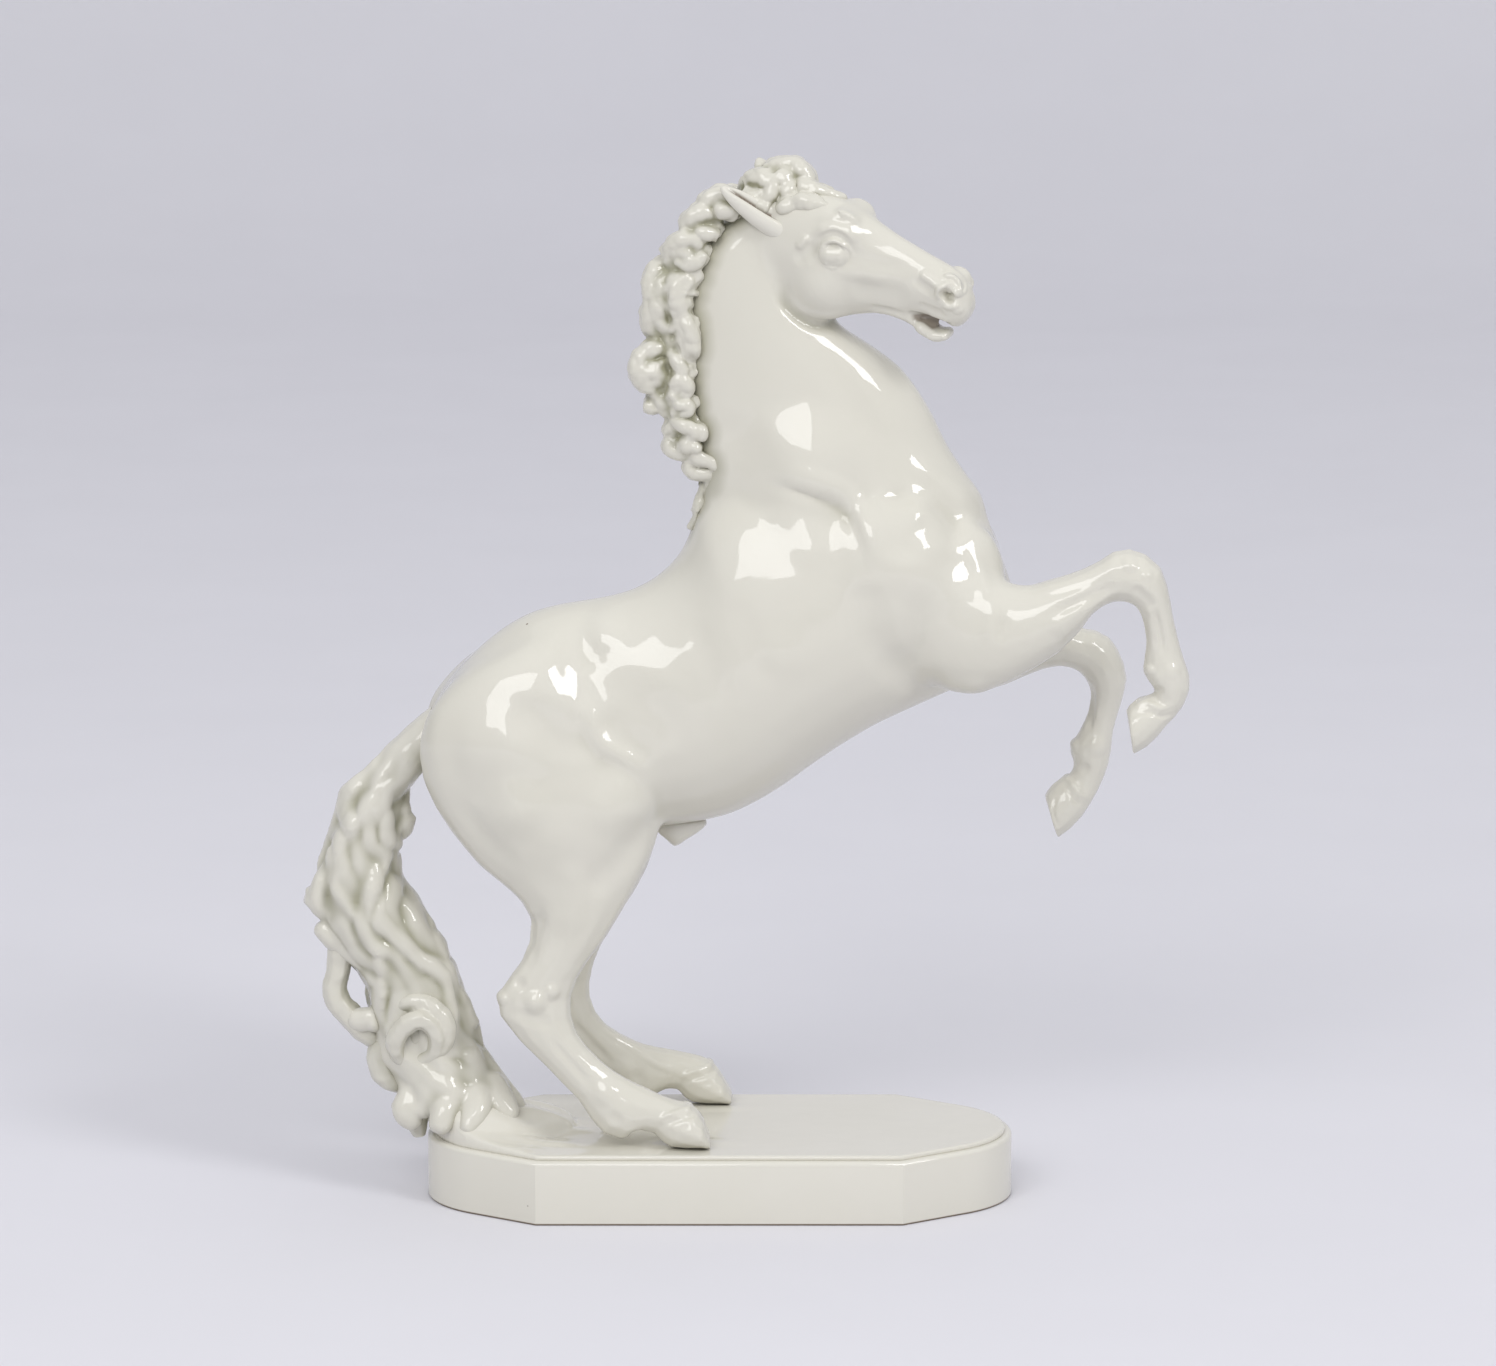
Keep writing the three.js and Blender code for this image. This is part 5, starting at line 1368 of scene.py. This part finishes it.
def hollow(points, normals):
    """How deep each point lies in a hollow, for the narrow and the wide average."""
    spot = (points - grid_low) / GRID_STEP - 0.5
    base = np.floor(spot).astype(int)
    share = spot - base
    depth = {}
    for reach, mean in averages.items():
        around = np.zeros_like(points)
        for corner in np.ndindex(2, 2, 2):
            part = np.prod(np.where(corner, share, 1 - share), axis=1)
            cell = np.ravel_multi_index((base + corner).T, grid_shape)
            around += part[:, None] * mean[cell]
        depth[reach] = ((around - points) * normals).sum(1) / (GRID_STEP * (reach + 0.5))
    return depth


print("grid for the averages:", grid_shape)

# %% [markdown]
# Hair lies in thick, greenish glaze nearly everywhere, and only its crests are white; its hollows
# are also painted darker, as painted shade. The body is white but for its grooves, where glaze runs
# together and shade is painted in, and the edge under the mane, painted as the mane's shade on the
# neck. The same store of values paints the inside of the parted mouth dark brown, as painted shade.

# %% Say where the glaze pools and where shade is painted
MANE_SHADE = 6
MOUTH, MOUTH_REACH, MOUTH_EDGE, MOUTH_SHADE = (81, 0, 313.2), (8.5, 4.4, 3.2), (2, 1, 1), 0.7


def painted_shade_beside_the_mane(points):
    """1 where the neck meets the mane, 0 from six millimetres away."""
    mane = KDTree(len(hair["mane"].data.vertices))
    for index, spot in enumerate(points_of(hair["mane"])):
        mane.insert(spot, index)
    mane.balance()
    near = np.zeros(len(points))
    for index in np.flatnonzero((points[:, 2] > 225) & (points[:, 0] < 30)):
        near[index] = 1 - min(mane.find(points[index])[2] / MANE_SHADE, 1)
    return near


# painted shade: the tongue between the parted lips is painted dark brown, as the shade in the mouth
def in_the_mouth(points):
    """1 between the parted lips, 0 outside them, with a soft edge."""
    inside = (MOUTH_REACH - np.abs(straightened(points) - MOUTH)) / MOUTH_EDGE
    return on_head(points) * smoothstep(inside, 0, 1).prod(1)


# Each row sets how strongly real pooled glaze and painted shade darken a piece's hollows.
POOLS_AND_SHADE = {  # least, share and range of the narrow hollow, share and range of the wide one
  "tail": (0.1, 0.6, -0.2, 0.35, 0.3, -0.5, 0.2),
  "hair": (0.15, 0.8, -0.2, 0.3, 0.5, -0.5, 0.2),
  "body": (0.1, 0.45, 0.05, 0.6, 0.3, 0.05, 0.45),
  "other": (0, 0.45, 0.05, 0.6, 0.3, 0.05, 0.45),
}
for name, piece in modelled.items():
    points = points_of(piece)
    depth = hollow(points, normals_of(piece))
    kind = name if name in POOLS_AND_SHADE else "hair" if name in hair else "other"
    least, narrow, a, b, wide, c, d = POOLS_AND_SHADE[kind]
    pool_and_shade = least + narrow * smoothstep(depth[1], a, b) + wide * smoothstep(depth[3], c, d)
    if name == "body":
        # painted shade: the neck is darkened where the mane shades it
        pool_and_shade += 0.6 * painted_shade_beside_the_mane(points)
        keep_value(piece, "iron_and_shade", MOUTH_SHADE * in_the_mouth(points))
    keep_value(piece, "pool_and_shade", pool_and_shade)
print("glaze pools on", len(modelled), "forms")

# %% [markdown]
# The finished skin is cut where the members of the real cast are luted together, so that each
# member stays a piece of its own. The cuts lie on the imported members' seams, each drawn as a line
# of two (x, z) points in the side view. Glaze runs over the real joints without a step.

# %% Seams of the cast members
NECK_SEAM = ((-30, 243), (130, 243))
HEAD_SEAM = ((0, 352), (31, 308))
THROAT_SEAM = ((-30, 305), (100, 305))
HIND_SEAM = ((-16, 105.5), (-96, 95.5))
RIGHT_FORE_SEAM = ((115.2, 214), (111, 175))
LEFT_FORE_SEAM = ((115.5, 202), (110.5, 164))
REAR_HALF = 40


def seam_normal(seam):
    (ax, az), (bx, bz) = seam
    length = math.hypot(bx - ax, bz - az)
    return np.array([-(bz - az) / length, 0, (bx - ax) / length])


def is_beyond(points, seam):
    offset = points - np.array([seam[0][0], 0, seam[0][1]])
    return offset @ seam_normal(seam) > 0


def member_at(points):
    """The index in BODY_MEMBERS of the member that holds each point."""
    near = points[:, 1] < 0
    member = np.zeros(len(points), int)
    member[is_beyond(points, NECK_SEAM)] = BODY_MEMBERS.index("neck")
    head = is_beyond(points, HEAD_SEAM) & is_beyond(points, THROAT_SEAM)
    member[head] = BODY_MEMBERS.index("head")
    low = points[:, 2] < NECK_SEAM[0][1]
    member[low & near & is_beyond(points, RIGHT_FORE_SEAM)] = BODY_MEMBERS.index("right_foreleg")
    member[low & ~near & is_beyond(points, LEFT_FORE_SEAM)] = BODY_MEMBERS.index("left_foreleg")
    back = points[:, 0] < REAR_HALF
    member[back & near & is_beyond(points, HIND_SEAM)] = BODY_MEMBERS.index("right_hind_leg")
    member[back & ~near & is_beyond(points, HIND_SEAM)] = BODY_MEMBERS.index("left_hind_leg")
    return member


print("seams known for:", ", ".join(BODY_MEMBERS[1:]))

# %% [markdown]
# A cut leaves a member open, so its rim is filled with a flat joint face. The joint of head and
# neck is bent, and gets an edge along its bend first. The joint faces stay flat and come last in
# the mesh, and all faces before them keep the whole skin's normals.

# %% Cut the body into members
ON_SEAM = 1e-6


def slice_at(work, spot, normal, **how):
    """Cuts a bmesh along a plane."""
    bmesh.ops.bisect_plane(work, geom=work.verts[:] + work.edges[:] + work.faces[:],
                           plane_co=spot, plane_no=normal, dist=2 * ON_SEAM, **how)


def close_joints(part):
    """Closes the cut ends; the bent joint of head and neck gets an edge along its bend."""
    bend = place(0, 0, THROAT_SEAM[0][1]).z
    corner, slope = place(HEAD_SEAM[1][0], 0, HEAD_SEAM[1][1]), Vector(seam_normal(HEAD_SEAM))
    turning = [v for v in part.verts if v.is_boundary and abs(v.co.z - bend) < ON_SEAM
               and abs((v.co - corner).dot(slope)) < 20 * ON_SEAM]
    if len(turning) == 2:
        part.edges.new(turning)
        rim = [e for e in part.edges if e.is_boundary or e.is_wire]
        level = [e for e in rim if all(abs(v.co.z - bend) < ON_SEAM for v in e.verts)]
        sloped = [e for e in rim if e not in level or e.is_wire]
        sloped = [e for e in sloped if max(v.co.z for v in e.verts) > bend - ON_SEAM]
        for loop in (level, sloped):
            bmesh.ops.edgeloop_fill(part, edges=loop)
    bmesh.ops.holes_fill(part, edges=[e for e in part.edges if e.is_boundary], sides=0)


def keep_skin_normals(piece, skin_faces):
    """Gives a part the whole skin's normals, except on its caps, which come after the skin."""
    mesh = piece.data
    normals = values_of(mesh.attributes["skin_normal"].data, "vector")
    corner_vertex = np.empty(len(mesh.loops), int)
    mesh.loops.foreach_get("vertex_index", corner_vertex)
    corners = normals[corner_vertex]
    if skin_faces < len(mesh.polygons):
        corners[mesh.polygons[skin_faces].loop_start:] = 0
    mesh.attributes.remove(mesh.attributes["skin_normal"])
    mesh.normals_split_custom_set(corners.tolist())


def cut_members(skin):
    """Cuts the skin into closed members that keep the whole skin's normals."""
    keep_normals(skin)
    whole = bmesh.new()
    whole.from_mesh(skin.data)
    for seam in (NECK_SEAM, HEAD_SEAM, THROAT_SEAM, HIND_SEAM, RIGHT_FORE_SEAM, LEFT_FORE_SEAM):
        slice_at(whole, place(seam[0][0], 0, seam[0][1]), Vector(seam_normal(seam)))
    centres = np.array([f.calc_center_median() for f in whole.faces])
    members = member_at((centres - ORIGIN) / MM)
    pieces = {}
    for index, name in enumerate(BODY_MEMBERS):
        part = whole.copy()
        part.faces.ensure_lookup_table()
        others = [part.faces[i] for i in np.flatnonzero(members != index)]
        bmesh.ops.delete(part, geom=others, context="FACES")
        skin_faces = len(part.faces)
        close_joints(part)
        part.faces.ensure_lookup_table()
        for face in part.faces:
            face.smooth = face.index < skin_faces
        pieces[name] = finished_mesh(name + "_glazed", part)
        keep_skin_normals(pieces[name], skin_faces)
    whole.free()
    bpy.data.objects.remove(skin)
    return pieces


members = cut_members(clay)
for name, piece in members.items():
    print(name, len(piece.data.polygons), "faces")

# %% [markdown]
# Each mass of hair is cut half-way between the hearts of neighbouring locks. So every lock of the
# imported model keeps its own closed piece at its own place, and no cut shows.

# %% Part the hair into locks
def parted(mass, hearts):
    """Cuts a mass of hair into closed locks: each takes what lies nearest to its own heart."""
    keep_normals(mass)
    whole = bmesh.new()
    whole.from_mesh(mass.data)
    whole.faces.layers.int.new("joint")
    spots = {name: Vector(place(*heart)) for name, heart in hearts.items()}
    locks = {}
    for name, here in spots.items():
        part = whole.copy()
        joint = part.faces.layers.int["joint"]
        for other in sorted(spots, key=lambda n: (spots[n] - here).length)[1:]:
            middle, away = (here + spots[other]) / 2, (spots[other] - here).normalized()
            slice_at(part, middle, away, clear_outer=True)
            beyond = [f for f in part.faces if (f.calc_center_median() - middle).dot(away) > WELD]
            bmesh.ops.delete(part, geom=beyond, context="FACES")
            rim = [e for e in part.edges if e.is_boundary]
            for face in bmesh.ops.holes_fill(part, edges=rim, sides=0)["faces"]:
                face[joint] = 1
        part.faces.sort(key=lambda f: f[joint])
        skin_faces = sum(1 for f in part.faces if not f[joint])
        for face in part.faces:
            face.smooth = not face[joint]
        locks[name] = finished_mesh(name + "_glazed", part)
        keep_skin_normals(locks[name], skin_faces)
    whole.free()
    bpy.data.objects.remove(mass)
    return locks


for name, hearts in (("mane", mane_hearts), ("forelock", forelock_hearts)):
    hair.update(parted(hair.pop(name), hearts))
print("locks:", {name: len(piece.data.polygons) for name, piece in hair.items()})

# %% [markdown]
# All of it is one material. Hard porcelain is a white, dense paste under a clear feldspar glaze
# that is fired with it, glassy and a little wavy. Thick glaze turns greenish grey, and the same
# darkening of the hollows is also painted shade. Grains of iron in the paste burn to small brown
# specks. The bare foot rim is painted as a thin dark line, the painted shadow where the plinth
# meets the floor.

# %% Glaze
def glaze():
    """Clear glaze over white hard paste, fired glossy: warm white, glassy, softly wavy."""
    made, tree = new_material("glazed_porcelain")
    on_piece = add_node(tree, "ShaderNodeTexCoord").outputs["Object"]
    # one in 35 mm: thin and thick glaze drift into each other, which clouds the white a little
    cloud = add_node(tree, "ShaderNodeTexNoise", Vector=on_piece, Scale=28.0, Detail=3.0)
    body = add_node(tree, "ShaderNodeMix", {"data_type": "RGBA"}, i0=cloud.outputs["Fac"],
                    i6=colour("dad7cb"), i7=colour("dedbd1"))
    # real pooled glaze and painted shade: hollows are darkened towards a greenish grey
    pool_and_shade = add_node(tree, "ShaderNodeAttribute", {"attribute_name": "pool_and_shade"}).outputs["Fac"]
    pooled_and_shaded = add_node(tree, "ShaderNodeMix", {"data_type": "RGBA"}, i0=pool_and_shade,
                      i6=body.outputs[2], i7=colour("9d9b84"))
    # the brown line in the ears' slits, partly painted shade, and the painted shade inside the mouth
    line = add_node(tree, "ShaderNodeAttribute", {"attribute_name": "iron_and_shade"}).outputs["Fac"]
    # one cell in 38 mm, and a speck of about 1 mm where the surface meets the cell's middle
    specks = add_node(tree, "ShaderNodeTexVoronoi", Vector=on_piece, Scale=26.0)
    speck = add_node(tree, "ShaderNodeMapRange", Value=specks.outputs["Distance"],
                     From_Min=0.016, From_Max=0.009)
    # painted shadow: the lowest millimetre of the plinth, its bare foot rim, is painted dark where
    # it meets the floor
    height = add_node(tree, "ShaderNodeSeparateXYZ", Vector=on_piece).outputs["Z"]
    foot = add_node(tree, "ShaderNodeMapRange", Value=height, From_Min=0.0009, From_Max=0.0005)
    iron_and_shade = add_node(tree, "ShaderNodeMath", {"operation": "MAXIMUM"}, i0=line,
                    i1=speck.outputs["Result"])
    iron_and_shade = add_node(tree, "ShaderNodeMath", {"operation": "MAXIMUM"}, i0=iron_and_shade.outputs[0],
                    i1=foot.outputs["Result"])
    stained_and_shaded = add_node(tree, "ShaderNodeMix", {"data_type": "RGBA"}, i0=iron_and_shade.outputs[0],
                       i6=pooled_and_shaded.outputs[2], i7=colour("6f5f4d"))
    # one in 11 mm: the skin of the glaze is a little wavy, which bends its highlights
    peel = add_node(tree, "ShaderNodeTexNoise", Vector=on_piece, Scale=90.0, Detail=1.0)
    ripple = add_node(tree, "ShaderNodeBump", Strength=0.5, Distance=0.00012,
                      Height=peel.outputs["Fac"])
    shader = add_node(tree, "ShaderNodeBsdfPrincipled", Base_Color=stained_and_shaded.outputs[2],
                      Normal=ripple.outputs["Normal"], Roughness=0.05, IOR=1.5)
    add_node(tree, "ShaderNodeOutputMaterial", Surface=shader.outputs["BSDF"])
    return made


# %% [markdown]
# Every piece stands in for the imported member of its name and takes the one glaze, and so do the
# packed members themselves.

# %% Hand in the pieces
porcelain = glaze()
pieces = {**members, **hair, **ears, "sheath": sheath, "plinth": plinth, "ground": ground}
for name, piece in pieces.items():
    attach(piece, "root")
    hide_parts(name)
for piece in [*pieces.values(), *frame["nodes"].values()]:
    piece.data.materials.clear()
    piece.data.materials.append(porcelain)
